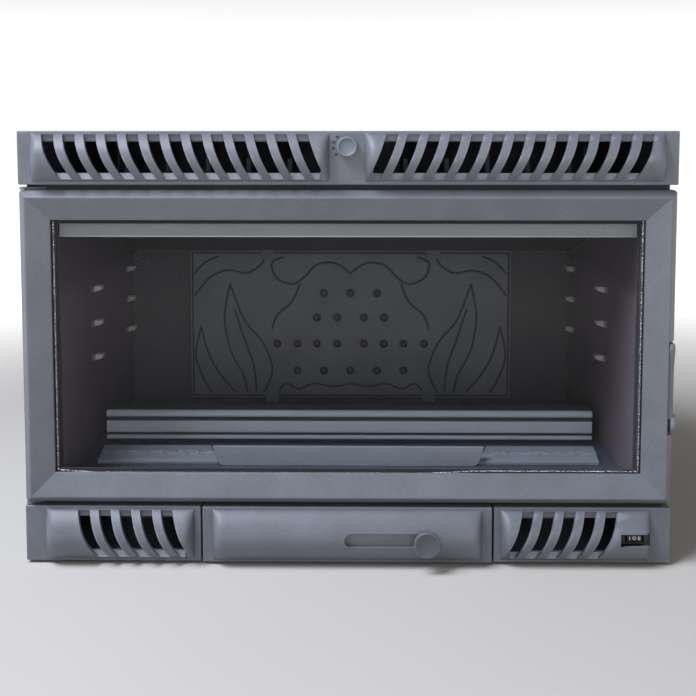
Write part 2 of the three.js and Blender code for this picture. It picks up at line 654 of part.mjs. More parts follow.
const doorSection = [
  [0, DOOR_BACK], [0, DOOR_FRONT + DOOR_BEVEL_D], [DOOR_BEVEL_W, DOOR_FRONT], [DOOR_MEMBER, LIP_FRONT],
  [DOOR_MEMBER, LIP_BACK], [REBATE_IN, LIP_BACK], [REBATE_IN, DOOR_BACK],
  [ROPE_IN + ROPE_W + 2 * SEAT, DOOR_BACK], [ROPE_IN + ROPE_W + 2 * SEAT, DOOR_BACK - ROPE_DEEP],
  [ROPE_IN, DOOR_BACK - ROPE_DEEP], [ROPE_IN, DOOR_BACK],
];
add('door_frame', PAINTED_CAST, cut(
  mitredFrame(...DOOR_X, doorSection, DOOR_CORNER_R),
  rod('z', HINGE_AXIS_X, HINGE_D, DOOR_Z - 1, BORE_R, HINGE_PIN_L + 2),
  rod('z', HINGE_AXIS_X, HINGE_D, DOOR_TOP_Z - HINGE_PIN_L - 1, BORE_R, HINGE_PIN_L + 2),
  block(NOTCH_X, HALF_W + 1, DOOR_FRONT - 1, DOOR_BACK + 1, NOTCH_Z0, NOTCH_Z1),
  rod('x', NOTCH_X - 9, LEVER_D, LEVER_Z, LEVER_PIN_R + SEAT, 20),
));

// Flat braid round the glass, then the glass, then four bars that hold it in the rebate.
const GASKET_D = LIP_BACK + SEAT;
const GLASS_D = GASKET_D + GASKET_T + SEAT;
const BAR_D = GLASS_D + GLASS_T + SEAT;
const braidIn = REBATE_IN + SEAT;
add('glass_gasket', BRAID, mitredFrame(...DOOR_X, [
  [braidIn, GASKET_D], [DOOR_MEMBER + GASKET_SHOW, GASKET_D],
  [DOOR_MEMBER + GASKET_SHOW, GASKET_D + GASKET_T], [braidIn, GASKET_D + GASKET_T],
], DOOR_CORNER_R));
const glassIn = REBATE_IN + 1;
add('door_glass', GLASS, block(
  glassIn - HALF_W, HALF_W - glassIn, GLASS_D, GLASS_D + GLASS_T, DOOR_Z + glassIn, DOOR_TOP_Z - glassIn,
));
const barW = REBATE - 1;
const BAR_GAP = 0.8;
const barX0 = REBATE_IN + BAR_GAP - HALF_W;
const barZ0 = DOOR_Z + REBATE_IN + BAR_GAP;
const barZ1 = DOOR_TOP_Z - REBATE_IN - BAR_GAP;
const barD1 = DOOR_BACK - SEAT;
add('glass_bar_top', BRIGHT_STEEL, block(barX0, -barX0, BAR_D, barD1, barZ1 - barW, barZ1));
add('glass_bar_bottom', BRIGHT_STEEL, block(barX0, -barX0, BAR_D, barD1, barZ0, barZ0 + barW));
const sideBar = [BAR_D, barD1, barZ0 + barW + SEAT, barZ1 - barW - SEAT];
add('glass_bar_left', BRIGHT_STEEL, block(barX0, barX0 + barW, ...sideBar));
add('glass_bar_right', BRIGHT_STEEL, block(-barX0 - barW, -barX0, ...sideBar));

// Rope seal in its groove, just clear of the front plate when the door is shut.
const ropeIn = ROPE_IN + SEAT;
const ropeOut = ropeIn + ROPE_W;
const ropeD0 = DOOR_BACK - ROPE_DEEP + SEAT;
const ropeD1 = PLATE_D - SEAT;
add('door_rope_seal', BRAID, mitredFrame(...DOOR_X, [
  [ropeIn, ropeD0 + 1], [ropeIn + 1, ropeD0], [ropeOut - 1, ropeD0], [ropeOut, ropeD0 + 1],
  [ropeOut, ropeD1 - 1.5], [ropeOut - 2, ropeD1], [ropeIn + 2, ropeD1], [ropeIn, ropeD1 - 1.5],
], DOOR_CORNER_R));

// ---- Hinges -----------------------------------------------------------------------------------------

// Bracket: a tongue under or over the door, with an eye for the pin, seated on the front plate.
const BRACKET_T = 2.2;
const BRACKET_W = 22;
const EYE_R = 3.9;
function bracket(z0) {
  const back = PLATE_D - SEAT;
  const body = join(
    rod('z', HINGE_AXIS_X, HINGE_D, z0, EYE_R, BRACKET_T, 24),
    alongZ([
      [HINGE_AXIS_X - EYE_R, HINGE_D], [HINGE_AXIS_X + EYE_R, HINGE_D - 1],
      [HINGE_AXIS_X + BRACKET_W, back], [HINGE_AXIS_X - EYE_R, back],
    ], z0, z0 + BRACKET_T),
  );
  return cut(body, rod('z', HINGE_AXIS_X, HINGE_D, z0 - 1, BORE_R, BRACKET_T + 2, 20));
}
const LOWER_BRACKET_Z = DOOR_Z - SEAT - BRACKET_T;
const UPPER_BRACKET_Z = DOOR_TOP_Z + SEAT;
add('hinge_bracket_bottom', PAINTED_CAST, bracket(LOWER_BRACKET_Z));
add('hinge_bracket_top', PAINTED_CAST, bracket(UPPER_BRACKET_Z));
const pinL = HINGE_PIN_L + SEAT + BRACKET_T - 1;
add('hinge_pin_bottom', BRIGHT_STEEL, rod('z', HINGE_AXIS_X, HINGE_D, LOWER_BRACKET_Z, HINGE_PIN_R, pinL));
add('hinge_pin_top', BRIGHT_STEEL, rod(
  'z', HINGE_AXIS_X, HINGE_D, UPPER_BRACKET_Z + BRACKET_T - pinL, HINGE_PIN_R, pinL,
));

// ---- Door lever and latch ---------------------------------------------------------------------------

const LEVER_X0 = NOTCH_X + SEAT + 0.2;
const LEVER_X1 = LEVER_X0 + LEVER_T;
const LATCH_T = 3;
const pinRun = SEAT + LEVER_PIN_R;

// The lever: an eye, a tapering arm and a thumb tip that curls forward.
function leverOutline() {
  const z1 = LEVER_Z + LEVER_L;
  const shape = new THREE.Shape();
  shape.moveTo(LEVER_D + 7, LEVER_Z);
  shape.lineTo(LEVER_D + 2, LEVER_Z + 30);
  shape.lineTo(LEVER_D - 3, z1 - 22);
  shape.quadraticCurveTo(LEVER_D - 6, z1 - 8, LEVER_D - 16, z1);
  shape.lineTo(LEVER_D - 24, z1 - 3);
  shape.quadraticCurveTo(LEVER_D - 18, z1 - 14, LEVER_D - 15, z1 - 26);
  shape.lineTo(LEVER_D - 9, LEVER_Z + 26);
  shape.lineTo(LEVER_D - 8, LEVER_Z);
  shape.closePath();
  return shape;
}
const LATCH_X0 = LEVER_X0;
const ARM_X0 = LATCH_X0 + LATCH_T + SEAT;
const ARM_X1 = LEVER_X1;
add('handle_lever', PAINTED_CAST, cut(
  join(
    alongX(leverOutline(), ARM_X0, ARM_X1, 6),
    rod('x', ARM_X0, LEVER_D, LEVER_Z, LEVER_EYE_R, ARM_X1 - ARM_X0 + 2, 28),
    alongX([
      [LEVER_D - 3, LEVER_Z + 34], [LEVER_D - 8, LEVER_Z + 34],
      [LEVER_D - 24, LEVER_Z + LEVER_L - 3], [LEVER_D - 16, LEVER_Z + LEVER_L],
    ], LEVER_X0, ARM_X1),
  ),
  rod('x', LEVER_X0 - 1, LEVER_D, LEVER_Z, pinRun, 20),
));
add('handle_pin', BRIGHT_STEEL, rod(
  'x', NOTCH_X - 8.5, LEVER_D, LEVER_Z, LEVER_PIN_R, 8.5 + ARM_X1 - NOTCH_X + 2.2, 20,
));

// The latch plate turns with the lever; its nose lies in the keeper's open jaw.
const NOSE_Z = LEVER_Z + 12;
const NOSE_D1 = PLATE_D - 2;
add('latch_hook', BRIGHT_STEEL, cut(
  join(
    rod('x', LATCH_X0, LEVER_D, LEVER_Z, 8, LATCH_T, 24),
    alongX([
      [LEVER_D, LEVER_Z + 2], [LEVER_D + 7, LEVER_Z + 1], [NOSE_D1, NOSE_Z - 3],
      [NOSE_D1, NOSE_Z + 1], [LEVER_D + 5, NOSE_Z - 1], [LEVER_D, LEVER_Z + 7],
    ], LATCH_X0, LATCH_X0 + LATCH_T),
  ),
  rod('x', LATCH_X0 - 1, LEVER_D, LEVER_Z, pinRun, 10),
));
const KEEPER_D0 = LEVER_D + 9;
const KEEPER_Z0 = NOSE_Z + 4.5;
add('latch_keeper', BRIGHT_STEEL, block(
  LATCH_X0 - 0.2, PLATE_HALF, KEEPER_D0, PLATE_D - SEAT, KEEPER_Z0, KEEPER_Z0 + 12,
));

// ---- Cast grilles with raised louvre pillows --------------------------------------------------------------

const PILLOW_STEPS = 7;
const WINDOW_LEDGE = 7;
const LEDGE_SINK = 0.5;          // the ledge lies this far behind the face

// A pillow: its section bulges forward and dies away into rounded ends.
function pillow(x0, x1, z0, z1, rise, back, endL) {
  const stations = [[0, 0.02], [0.12, 0.45], [0.4, 0.8], [1, 1]];
  const ring = (x, grow) => {
    const section = [];
    for (let k = 0; k <= PILLOW_STEPS; k += 1) {
      const t = k / PILLOW_STEPS;
      const swell = Math.sin(Math.PI * t) ** 0.6;
      section.push(new THREE.Vector3(x, atDepth(-rise * grow * swell), z0 + (z1 - z0) * t));
    }
    section.push(new THREE.Vector3(x, atDepth(back), z1), new THREE.Vector3(x, atDepth(back), z0));
    return section;
  };
  const left = stations.map(([at, grow]) => ring(x0 + endL * at, grow));
  const right = stations.map(([at, grow]) => ring(x1 - endL * at, grow)).reverse();
  return loft([...left, ...right]);
}

// Louvre slots lean outwards at the top; 'outer' is the outermost slot's outer top corner.
function slots(side, outer, count, z0, z1) {
  const lean = SLOT_LEAN * (z1 - z0);
  return Array.from({ length: count }, (_, k) => {
    const top = outer - k * SLOT_PITCH;
    const corners = [[top, z1], [top - SLOT_W, z1], [top - SLOT_W - lean, z0], [top - lean, z0]];
    return alongY(corners.map(([x, z]) => [side * x, z]), -BULGE_RISE - 5, LEDGE_SINK / 2);
  });
}

// A shallow cast tray: a face plate with a rim that runs back to the front plate.
function tray(x0, x1, z0, z1, front) {
  const rimBack = PLATE_D - SEAT;
  return cut(
    block(x0, x1, front, rimBack, z0, z1),
    block(x0 + RIM_T, x1 - RIM_T, front + FACE_T, rimBack + 1, z0 + RIM_T, z1 - RIM_T),
  );
}

// The raised shell of a pillow, as what to add and what to hollow out of the tray.
const pillowOut = (x0, x1, z0, z1, front = 0) => pillow(x0, x1, z0, z1, BULGE_RISE, front + FACE_T - 1, 16);
const pillowIn = (x0, x1, z0, z1, back = LEDGE_SINK) => pillow(
  x0 + BULGE_WALL, x1 - BULGE_WALL, z0 + BULGE_WALL, z1 - BULGE_WALL, BULGE_RISE - BULGE_WALL + 1, back, 14,
);

// The face plate keeps a ledge behind each pillow's edges; the air passes through this window.
function windowBehind(x0, x1, z0, z1) {
  return block(
    x0 + WINDOW_LEDGE, x1 - WINDOW_LEDGE, LEDGE_SINK / 2, FACE_T + 1, z0 + WINDOW_LEDGE, z1 - WINDOW_LEDGE,
  );
}

const VENT_IN = 19;
const SLOT_END = 10;             // shell left beyond the innermost slot
const slotCount = (outer, inner) => Math.floor((outer - inner - SLOT_END) / SLOT_PITCH);
const VENT_OUT = HALF_W - 15;
const ventZ0 = TOP_Z + 3.5;
const ventZ1 = FACADE_TOP_Z - 2.5;
const TOP_SLOT_X = VENT_OUT - 12;
const TOP_SLOTS = slotCount(TOP_SLOT_X, VENT_IN);
const slotZ0 = ventZ0 + 4;
const slotZ1 = ventZ1 - 3;
const DOTS = [135, 162, 187, 216];
const DOT_RING = 14.5;
add('top_grille', PAINTED_CAST, cut(
  join(
    tray(-HALF_W, HALF_W, TOP_Z, FACADE_TOP_Z, 0),
    pillowOut(-VENT_OUT, -VENT_IN, ventZ0, ventZ1),
    pillowOut(VENT_IN, VENT_OUT, ventZ0, ventZ1),
  ),
  pillowIn(-VENT_OUT, -VENT_IN, ventZ0, ventZ1),
  pillowIn(VENT_IN, VENT_OUT, ventZ0, ventZ1),
  windowBehind(-VENT_OUT, -VENT_IN, ventZ0, ventZ1),
  windowBehind(VENT_IN, VENT_OUT, ventZ0, ventZ1),
  ...slots(-1, TOP_SLOT_X, TOP_SLOTS, slotZ0, slotZ1),
  ...slots(1, TOP_SLOT_X, TOP_SLOTS, slotZ0, slotZ1),
  rod('y', 0, -5, SPINDLE_Z, SPINDLE_R + SEAT, 30, 20),
  ...DOTS.map((angle) => {
    const turn = angle * Math.PI / 180;
    return rod('y', DOT_RING * Math.cos(turn), -1, SPINDLE_Z + DOT_RING * Math.sin(turn), 1.5, 2, 8);
  }),
));

const LOW_IN = DRAWER_HALF + FACE_GAP + 7;
const LOW_OUT = HALF_W - 23;
const LOW_SLOT_X = LOW_OUT - 35;
const LOW_SLOTS = slotCount(LOW_SLOT_X, LOW_IN);
const lowZ0 = BOTTOM_Z + 3;
const lowZ1 = BOTTOM_TOP_Z - 3;
function lowGrille(side) {
  const [x0, x1] = aside(side, DRAWER_HALF + FACE_GAP, HALF_W);
  const [p0, p1] = aside(side, LOW_IN, LOW_OUT);
  return cut(
    join(tray(x0, x1, BOTTOM_Z, BOTTOM_TOP_Z, 0), pillowOut(p0, p1, lowZ0, lowZ1)),
    pillowIn(p0, p1, lowZ0, lowZ1),
    windowBehind(p0, p1, lowZ0, lowZ1),
    ...slots(side, LOW_SLOT_X, LOW_SLOTS, lowZ0 + 3.5, lowZ1 - 3.5),
  );
}
add('bottom_grille_left', PAINTED_CAST, lowGrille(-1));

// The right grille also has a flat pocket for the fan switch.
const SWITCH_Z = (BOTTOM_Z + BOTTOM_TOP_Z) / 2;
const POCKET_D = -9;
const switchX0 = SWITCH_X - SWITCH_W / 2;
const switchX1 = SWITCH_X + SWITCH_W / 2;
const switchZ0 = SWITCH_Z - SWITCH_H / 2;
const switchZ1 = SWITCH_Z + SWITCH_H / 2;
const pocketWall = 3;
add('bottom_grille_right', PAINTED_CAST, cut(
  join(
    lowGrille(1),
    block(
      switchX0 - pocketWall, switchX1 + pocketWall, POCKET_D, FACE_T, switchZ0 - pocketWall, switchZ1 + pocketWall,
    ),
  ),
  block(switchX0, switchX1, -BULGE_RISE - 5, FACE_T + 5, switchZ0, switchZ1),
));

// ---- Ash drawer ------------------------------------------------------------------------------------------

const DRAWER_PROUD = 2;
const DRAWER_BULGE_HALF = 146;
const SLIDER_SLOT_X1 = SLIDER_X + SLIDER_SLOT_H / 2;
const SLIDER_SLOT_X0 = SLIDER_X - SLIDER_TRAVEL - SLIDER_SLOT_H / 2;
const BOSS_X = 132;
const BOSS_R = 6;
const BOSS_Z = 14;
function slotOutline(x0, x1, height) {
  const r = height / 2;
  const shape = new THREE.Shape();
  shape.moveTo(x0 + r, SLIDER_Z - r);
  shape.lineTo(x1 - r, SLIDER_Z - r);
  shape.absarc(x1 - r, SLIDER_Z, r, -Math.PI / 2, Math.PI / 2, false);
  shape.lineTo(x0 + r, SLIDER_Z + r);
  shape.absarc(x0 + r, SLIDER_Z, r, Math.PI / 2, Math.PI * 1.5, false);
  return shape;
}
const RAIL_T = 3;
const SHUTTER_H = 22;
const SHUTTER_T = 2;
const SHUTTER_D = -11.5;         // close behind the swell of the drawer front
const shutterTop = SLIDER_Z + SHUTTER_H / 2 + SEAT;
const shutterFoot = SLIDER_Z - SHUTTER_H / 2 - SEAT;
const SHUTTER_LAP = 4;           // how far the shutter covers past the slot
const railX0 = SLIDER_SLOT_X0 - SHUTTER_LAP - SLIDER_TRAVEL - 6;
const railX1 = SLIDER_SLOT_X1 + SHUTTER_LAP + 13;
const RAIL_D0 = -13.2;
add('drawer_front', PAINTED_CAST, cut(
  join(
    cut(
      join(
        tray(-DRAWER_HALF, DRAWER_HALF, BOTTOM_Z, BOTTOM_TOP_Z, -DRAWER_PROUD),
        pillowOut(-DRAWER_BULGE_HALF, DRAWER_BULGE_HALF, lowZ0, lowZ1, -DRAWER_PROUD),
      ),
      pillowIn(-DRAWER_BULGE_HALF, DRAWER_BULGE_HALF, lowZ0, lowZ1, FACE_T - DRAWER_PROUD + 1),
    ),
    ...[-1, 1].map((side) => rod('y', side * BOSS_X, 0, BOSS_Z, BOSS_R, PLATE_D - SEAT, 16)),
    block(railX0, railX1, RAIL_D0, SHUTTER_D + SHUTTER_T + 1, shutterTop, shutterTop + RAIL_T),
    block(railX0, railX1, RAIL_D0, SHUTTER_D + SHUTTER_T + 1, shutterFoot - RAIL_T, shutterFoot),
  ),
  alongY(slotOutline(SLIDER_SLOT_X0, SLIDER_SLOT_X1, SLIDER_SLOT_H), -BULGE_RISE - 5, SHUTTER_D + SHUTTER_T, 8),
));

// Folded ash pan, open at the top.
const panHalf = PAN_W / 2;
const PAN_LIP = 3;
const PAN_D1 = PLATE_D + PAN_L;
add('ash_pan', GALVANISED, cut(
  join(
    block(-panHalf, panHalf, PLATE_D, PAN_D1, PAN_Z, PAN_Z + PAN_H),
    block(-panHalf - PAN_LIP, panHalf + PAN_LIP, PLATE_D, PAN_D1, PAN_Z + PAN_H - PAN_T, PAN_Z + PAN_H),
  ),
  block(PAN_T - panHalf, panHalf - PAN_T, PLATE_D + PAN_T, PAN_D1 - PAN_T, PAN_Z + PAN_T, PAN_Z + PAN_H + 1),
));

// Runners: side walls of the drawer's channel, with a ledge under the pan.
const RUNNER_X0 = panHalf + PAN_LIP + 1;
const RUNNER_T = 2;
const RUNNER_LEDGE = 12;
const RUNNER_D1 = PAN_D1 + 8;
const runnerFoot = CASE_BASE_TOP + SEAT;
const runnerTop = FLOOR_Z - FLOOR_T - SEAT;
function runner(side) {
  const ledge0 = PAN_Z - SEAT - RUNNER_T;
  const wall = aside(side, RUNNER_X0, RUNNER_X0 + RUNNER_T);
  const ledge = aside(side, RUNNER_X0 - RUNNER_LEDGE, RUNNER_X0 + 1);
  const foot = aside(side, RUNNER_X0, RUNNER_X0 + RUNNER_LEDGE);
  return join(
    block(...wall, BOX_D0, RUNNER_D1, runnerFoot, runnerTop),
    block(...ledge, BOX_D0, RUNNER_D1, ledge0, PAN_Z - SEAT),
    block(...foot, BOX_D0, RUNNER_D1, runnerFoot, runnerFoot + RUNNER_T),
  );
}
add('drawer_runner_left', GALVANISED, runner(-1));
add('drawer_runner_right', GALVANISED, runner(1));

// Back wall of the ash channel also carries the rear of the firebox floor.
add('channel_back', GALVANISED, block(
  -RUNNER_X0 - RUNNER_T, RUNNER_X0 + RUNNER_T, RUNNER_D1 + SEAT, RUNNER_D1 + SEAT + RUNNER_T, runnerFoot, runnerTop,
));

// Air slider: knob, stem and the shutter plate that covers the slot between the drawer's rails.
const STEM_R = 5;
const KNOB_D0 = -33;
const KNOB_T = 6;
add('air_slider_knob', PAINTED_CAST, turned('y', SLIDER_X, KNOB_D0, SLIDER_Z, [
  [0, 0], [SLIDER_KNOB_R - 2, 0], [SLIDER_KNOB_R, 1.5], [SLIDER_KNOB_R, KNOB_T - 1],
  [SLIDER_KNOB_R - 1, KNOB_T], [0, KNOB_T],
], 32));
add('air_slider_stem', BRIGHT_STEEL, rod(
  'y', SLIDER_X, KNOB_D0 + KNOB_T + SEAT, SLIDER_Z, STEM_R, SHUTTER_D - 2 * SEAT - KNOB_D0 - KNOB_T, 16,
));
add('air_shutter', PAINTED_CAST, block(
  SLIDER_SLOT_X0 - SHUTTER_LAP, SLIDER_SLOT_X1 + SHUTTER_LAP, SHUTTER_D, SHUTTER_D + SHUTTER_T,
  SLIDER_Z - SHUTTER_H / 2, SLIDER_Z + SHUTTER_H / 2,
));

// ---- Flue damper -----------------------------------------------------------------------------------------

const KNOB_T1 = 11;
const KNOB_RIM = 2.2;
const DAMPER_KNOB_D = -KNOB_T1 - SEAT;
add('damper_knob', PAINTED_CAST, turned('y', 0, DAMPER_KNOB_D, SPINDLE_Z, [
  [0, 2], [KNOB_R - KNOB_RIM - 1, 2], [KNOB_R - KNOB_RIM, 0.6], [KNOB_R - 1, 0], [KNOB_R, 1],
  [KNOB_R, KNOB_T1], [0, KNOB_T1],
], 32));
const spindleD1 = FLUE_D + FLUE_R + FLUE_WALL;
const spindleD0 = DAMPER_KNOB_D + KNOB_T1 + SEAT;
add('damper_spindle', BRIGHT_STEEL, rod('y', 0, spindleD0, SPINDLE_Z, SPINDLE_R, spindleD1 - spindleD0, 16));

// Half-round vane hung from the spindle by two saddles.
const VANE_R = FLUE_R - 5;
const VANE_T = 3;
function vane() {
  const shape = new THREE.Shape();
  const top = SPINDLE_Z - SPINDLE_R - SEAT;
  shape.moveTo(FLUE_D - VANE_R, top);
  shape.absarc(FLUE_D, top, VANE_R, Math.PI, Math.PI * 2, false);
  shape.closePath();
  const sleeve = (depth) => rod('y', 0, depth, SPINDLE_Z, SPINDLE_R + SEAT + 2.5, 12, 16);
  return cut(
    join(alongX(shape, -VANE_T / 2, VANE_T / 2, 16), sleeve(FLUE_D - 45), sleeve(FLUE_D + 33)),
    rod('y', 0, FLUE_D - 100, SPINDLE_Z, SPINDLE_R + SEAT, 200, 16),
  );
}
add('damper_vane', DARK_CAST, vane());

// ---- Fans ------------------------------------------------------------------------------------------------

const HOUSING_T = 1.5;
const SCROLL_GAP = 5;
const HOUSING_W = FAN_W + 8;
const OUTLET_H = 6;

// Scroll outline round the fan's axis, opening backwards at the top.
function scroll(inset) {
  const shape = new THREE.Shape();
  const turns = 20;
  const top = FAN_Z + FAN_R + SCROLL_GAP + OUTLET_H - inset;
  for (let k = 0; k <= turns; k += 1) {
    const t = k / turns;
    const angle = Math.PI / 2 + t * Math.PI * 1.45;
    const r = FAN_R + SCROLL_GAP + OUTLET_H * (1 - t) - inset;
    const point = [FAN_D + r * Math.cos(angle), FAN_Z + r * Math.sin(angle)];
    if (k === 0) shape.moveTo(...point);
    else shape.lineTo(...point);
  }
  const mouth = FAN_D + FAN_R + 40 + (inset > 0 ? 5 : 0);
  shape.lineTo(mouth, FAN_Z + inset);
  shape.lineTo(mouth, top);
  shape.closePath();
  return shape;
}
const FEET_T = 2;
function housing(side) {
  const [x0, x1] = aside(side, FAN_X - HOUSING_W / 2, FAN_X + HOUSING_W / 2);
  const foot = FAN_Z - FAN_R - SCROLL_GAP;
  return cut(
    join(
      alongX(scroll(0), x0, x1),
      block(x0, x1, FAN_D - 20, FAN_D + 20, runnerFoot, foot + 4),
      block(x0 - 8, x1 + 8, FAN_D - 20, FAN_D + 20, runnerFoot, runnerFoot + FEET_T),
    ),
    alongX(scroll(HOUSING_T), x0 + HOUSING_T, x1 - HOUSING_T),
    rod('x', x0 - 1, FAN_D, FAN_Z, FAN_R - 4, HOUSING_W + 2, 24),
  );
}

// Squirrel-cage impeller: a back disc with a hub, curved blades and an end ring.
function impeller(side) {
  const x0 = side * FAN_X - FAN_W / 2;
  const disc = side < 0 ? x0 + FAN_W - 2 : x0;
  const ringX = side < 0 ? x0 : x0 + FAN_W - 2;
  const ring = cut(
    rod('x', ringX, FAN_D, FAN_Z, FAN_R, 2, 28),
    rod('x', ringX - 1, FAN_D, FAN_Z, FAN_R - 6, 4, 28),
  );
  const blades = Array.from({ length: BLADES }, (_, k) => {
    const turn = k * Math.PI * 2 / BLADES;
    const rim = (r, offset) => [
      FAN_D + r * Math.cos(turn + offset),
      FAN_Z + r * Math.sin(turn + offset),
    ];
    return alongX([
      rim(FAN_R - 0.5, 0.1), rim(FAN_R - 3, 0.03), rim(FAN_R - 6, 0.02), rim(FAN_R - 6, 0.08), rim(FAN_R - 3, 0.1),
      rim(FAN_R - 0.5, 0.16),
    ], x0 + 0.5, x0 + FAN_W - 0.5);
  });
  return cut(
    join(
      rod('x', disc, FAN_D, FAN_Z, FAN_R, 2, 28), ring, ...blades,
      rod('x', side < 0 ? disc - 8 : disc, FAN_D, FAN_Z, SHAFT_R + 4, 10, 16),
    ),
    rod('x', x0 - 1, FAN_D, FAN_Z, SHAFT_R + SEAT, FAN_W + 2, 16),
  );
}

// Motor: a ribbed can on three arms fixed to the housing's inner side plate.
const MOTOR_R = 17;
const MOTOR_L = 22;
const MOTOR_FLANGE_R = FAN_R + 1;
function motor(side) {
  const plate = FAN_X - HOUSING_W / 2 - SEAT;
  const span = (from, length) => (side < 0 ? -from : from - length);
  const arms = [0, 1, 2].map((k) => {
    const turn = Math.PI / 2 + k * Math.PI * 2 / 3;
    const reach = [Math.cos(turn), Math.sin(turn)];
    const across = [-reach[1] * 4, reach[0] * 4];
    const at = (r, s) => [FAN_D + reach[0] * r + across[0] * s, FAN_Z + reach[1] * r + across[1] * s];
    return alongX(
      [at(10, -1), at(MOTOR_FLANGE_R, -1), at(MOTOR_FLANGE_R, 1), at(10, 1)],
      span(plate, 2), span(plate, 2) + 2,
    );
  });
  return join(
    rod('x', span(plate, MOTOR_L), FAN_D, FAN_Z, MOTOR_R, MOTOR_L, 24),
    rod('x', span(plate - 4, 6), FAN_D, FAN_Z, MOTOR_R + 1.5, 6, 24),
    ...arms,
    rod('x', side < 0 ? 1 - plate - HOUSING_W / 2 : plate - 1, FAN_D, FAN_Z, SHAFT_R, HOUSING_W / 2, 16),
  );
}
for (const [name, side] of [['left', -1], ['right', 1]]) {
  add(`fan_housing_${name}`, GALVANISED, housing(side));
  add(`fan_impeller_${name}`, BLACK_PLASTIC, impeller(side));
  add(`fan_motor_${name}`, PAINTED_SHEET, motor(side));
}

// ---- Switch, terminal box and gland ------------------------------------------------------------------------

const KEY_W = 16;
const KEY_H = 8;
const KEY_SWING = 1.8;           // room for the key to rock
const SWITCH_BODY_L = 22;
const bezelD = POCKET_D + 1;
add('switch_body', BLACK_PLASTIC, cut(
  block(
    switchX0 + SEAT, switchX1 - SEAT, bezelD, bezelD + SWITCH_BODY_L, switchZ0 + SEAT, switchZ1 - SEAT,
  ),
  block(
    SWITCH_X - KEY_W / 2 - KEY_SWING, SWITCH_X + KEY_W / 2 + KEY_SWING, bezelD - 1, bezelD + 12,
    SWITCH_Z - KEY_H / 2 - 0.5, SWITCH_Z + KEY_H / 2 + 0.5,
  ),
));

// Three-position key: a shallow vee in plan that rocks about an upright pin line.
const KEY_D = bezelD + 3;
add('switch_key', BLACK_PLASTIC, alongZ([
  [SWITCH_X - KEY_W / 2, KEY_D - 1.2 - 2.5], [SWITCH_X, KEY_D - 2.5], [SWITCH_X + KEY_W / 2, KEY_D - 1.2 - 2.5],
  [SWITCH_X + KEY_W / 2 - 1, KEY_D + 1], [SWITCH_X + 2, KEY_D + 5], [SWITCH_X - 2, KEY_D + 5],
  [SWITCH_X - KEY_W / 2 + 1, KEY_D + 1],
], SWITCH_Z - KEY_H / 2, SWITCH_Z + KEY_H / 2));

const BOX_T = 30;
const BOX_W2 = 34;
const BOX_H2 = 24;
add('terminal_box', BLACK_PLASTIC, cut(
  block(
    GLAND_X - BOX_W2, GLAND_X + BOX_W2, BODY_DEPTH - SHEET - SEAT - BOX_T, BODY_DEPTH - SHEET - SEAT,
    GLAND_Z - BOX_H2, GLAND_Z + BOX_H2,
  ),
  rod('y', GLAND_X, BODY_DEPTH - 20, GLAND_Z, GLAND_R + SEAT, 30, 20),
));
add('cable_gland', BLACK_PLASTIC, cut(
  turned('y', GLAND_X, BODY_DEPTH, GLAND_Z, [
    [0, -12], [GLAND_R, -12], [GLAND_R, SEAT], [GLAND_R + 4, SEAT], [GLAND_R + 4, 4.5], [GLAND_R, 9], [0, 9],
  ], 20),
  rod('y', GLAND_X, BODY_DEPTH - 15, GLAND_Z, 3.5, 40, 12),
));

export default insert;
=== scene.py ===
import math

import bmesh
import bpy
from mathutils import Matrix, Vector, noise


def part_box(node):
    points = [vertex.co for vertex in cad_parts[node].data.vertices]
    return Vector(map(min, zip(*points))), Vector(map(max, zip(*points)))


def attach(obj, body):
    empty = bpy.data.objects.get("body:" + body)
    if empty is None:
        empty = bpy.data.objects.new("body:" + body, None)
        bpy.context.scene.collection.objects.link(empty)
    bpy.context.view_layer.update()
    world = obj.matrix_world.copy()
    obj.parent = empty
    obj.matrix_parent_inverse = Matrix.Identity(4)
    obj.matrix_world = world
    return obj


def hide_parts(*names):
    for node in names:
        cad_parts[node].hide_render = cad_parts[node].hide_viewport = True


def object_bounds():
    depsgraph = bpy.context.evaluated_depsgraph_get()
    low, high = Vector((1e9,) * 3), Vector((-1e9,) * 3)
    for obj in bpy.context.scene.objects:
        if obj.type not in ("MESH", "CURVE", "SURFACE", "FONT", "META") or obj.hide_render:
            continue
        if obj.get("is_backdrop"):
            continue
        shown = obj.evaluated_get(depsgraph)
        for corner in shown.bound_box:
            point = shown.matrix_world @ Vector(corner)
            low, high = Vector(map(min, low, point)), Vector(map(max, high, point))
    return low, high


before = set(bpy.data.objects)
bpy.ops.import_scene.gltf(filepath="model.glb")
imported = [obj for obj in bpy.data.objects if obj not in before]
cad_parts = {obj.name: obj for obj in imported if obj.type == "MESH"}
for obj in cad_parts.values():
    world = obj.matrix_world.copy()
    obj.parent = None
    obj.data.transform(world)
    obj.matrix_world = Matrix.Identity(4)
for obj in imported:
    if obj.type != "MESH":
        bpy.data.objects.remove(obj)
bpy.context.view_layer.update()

# ---- Viewpoint ------------------------------------------------------------------------------
# The insert is seen square on from a little above its top edge, about 1.1 m in front of the
# facade. Sizes are millimetres; "depth" is measured backwards from the facade's front plane.
MM = 0.001
IMAGE_PX = 696
FOCAL_PX = 1080.7
CAMERA_X, CAMERA_DEPTH, CAMERA_Z = 13.7, -1142.7, 468.0
LOOK_DOWN, LOOK_LEFT = 4.60, 0.64   # degrees
SHIFT_Y = -0.185
BODY_DEPTH = 430
FACADE_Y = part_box("casing_back")[1].y / MM - BODY_DEPTH


def at(x, depth, z):
    """A point, in metres, from x, depth and height in millimetres."""
    return Vector((x, FACADE_Y + depth, z)) * MM


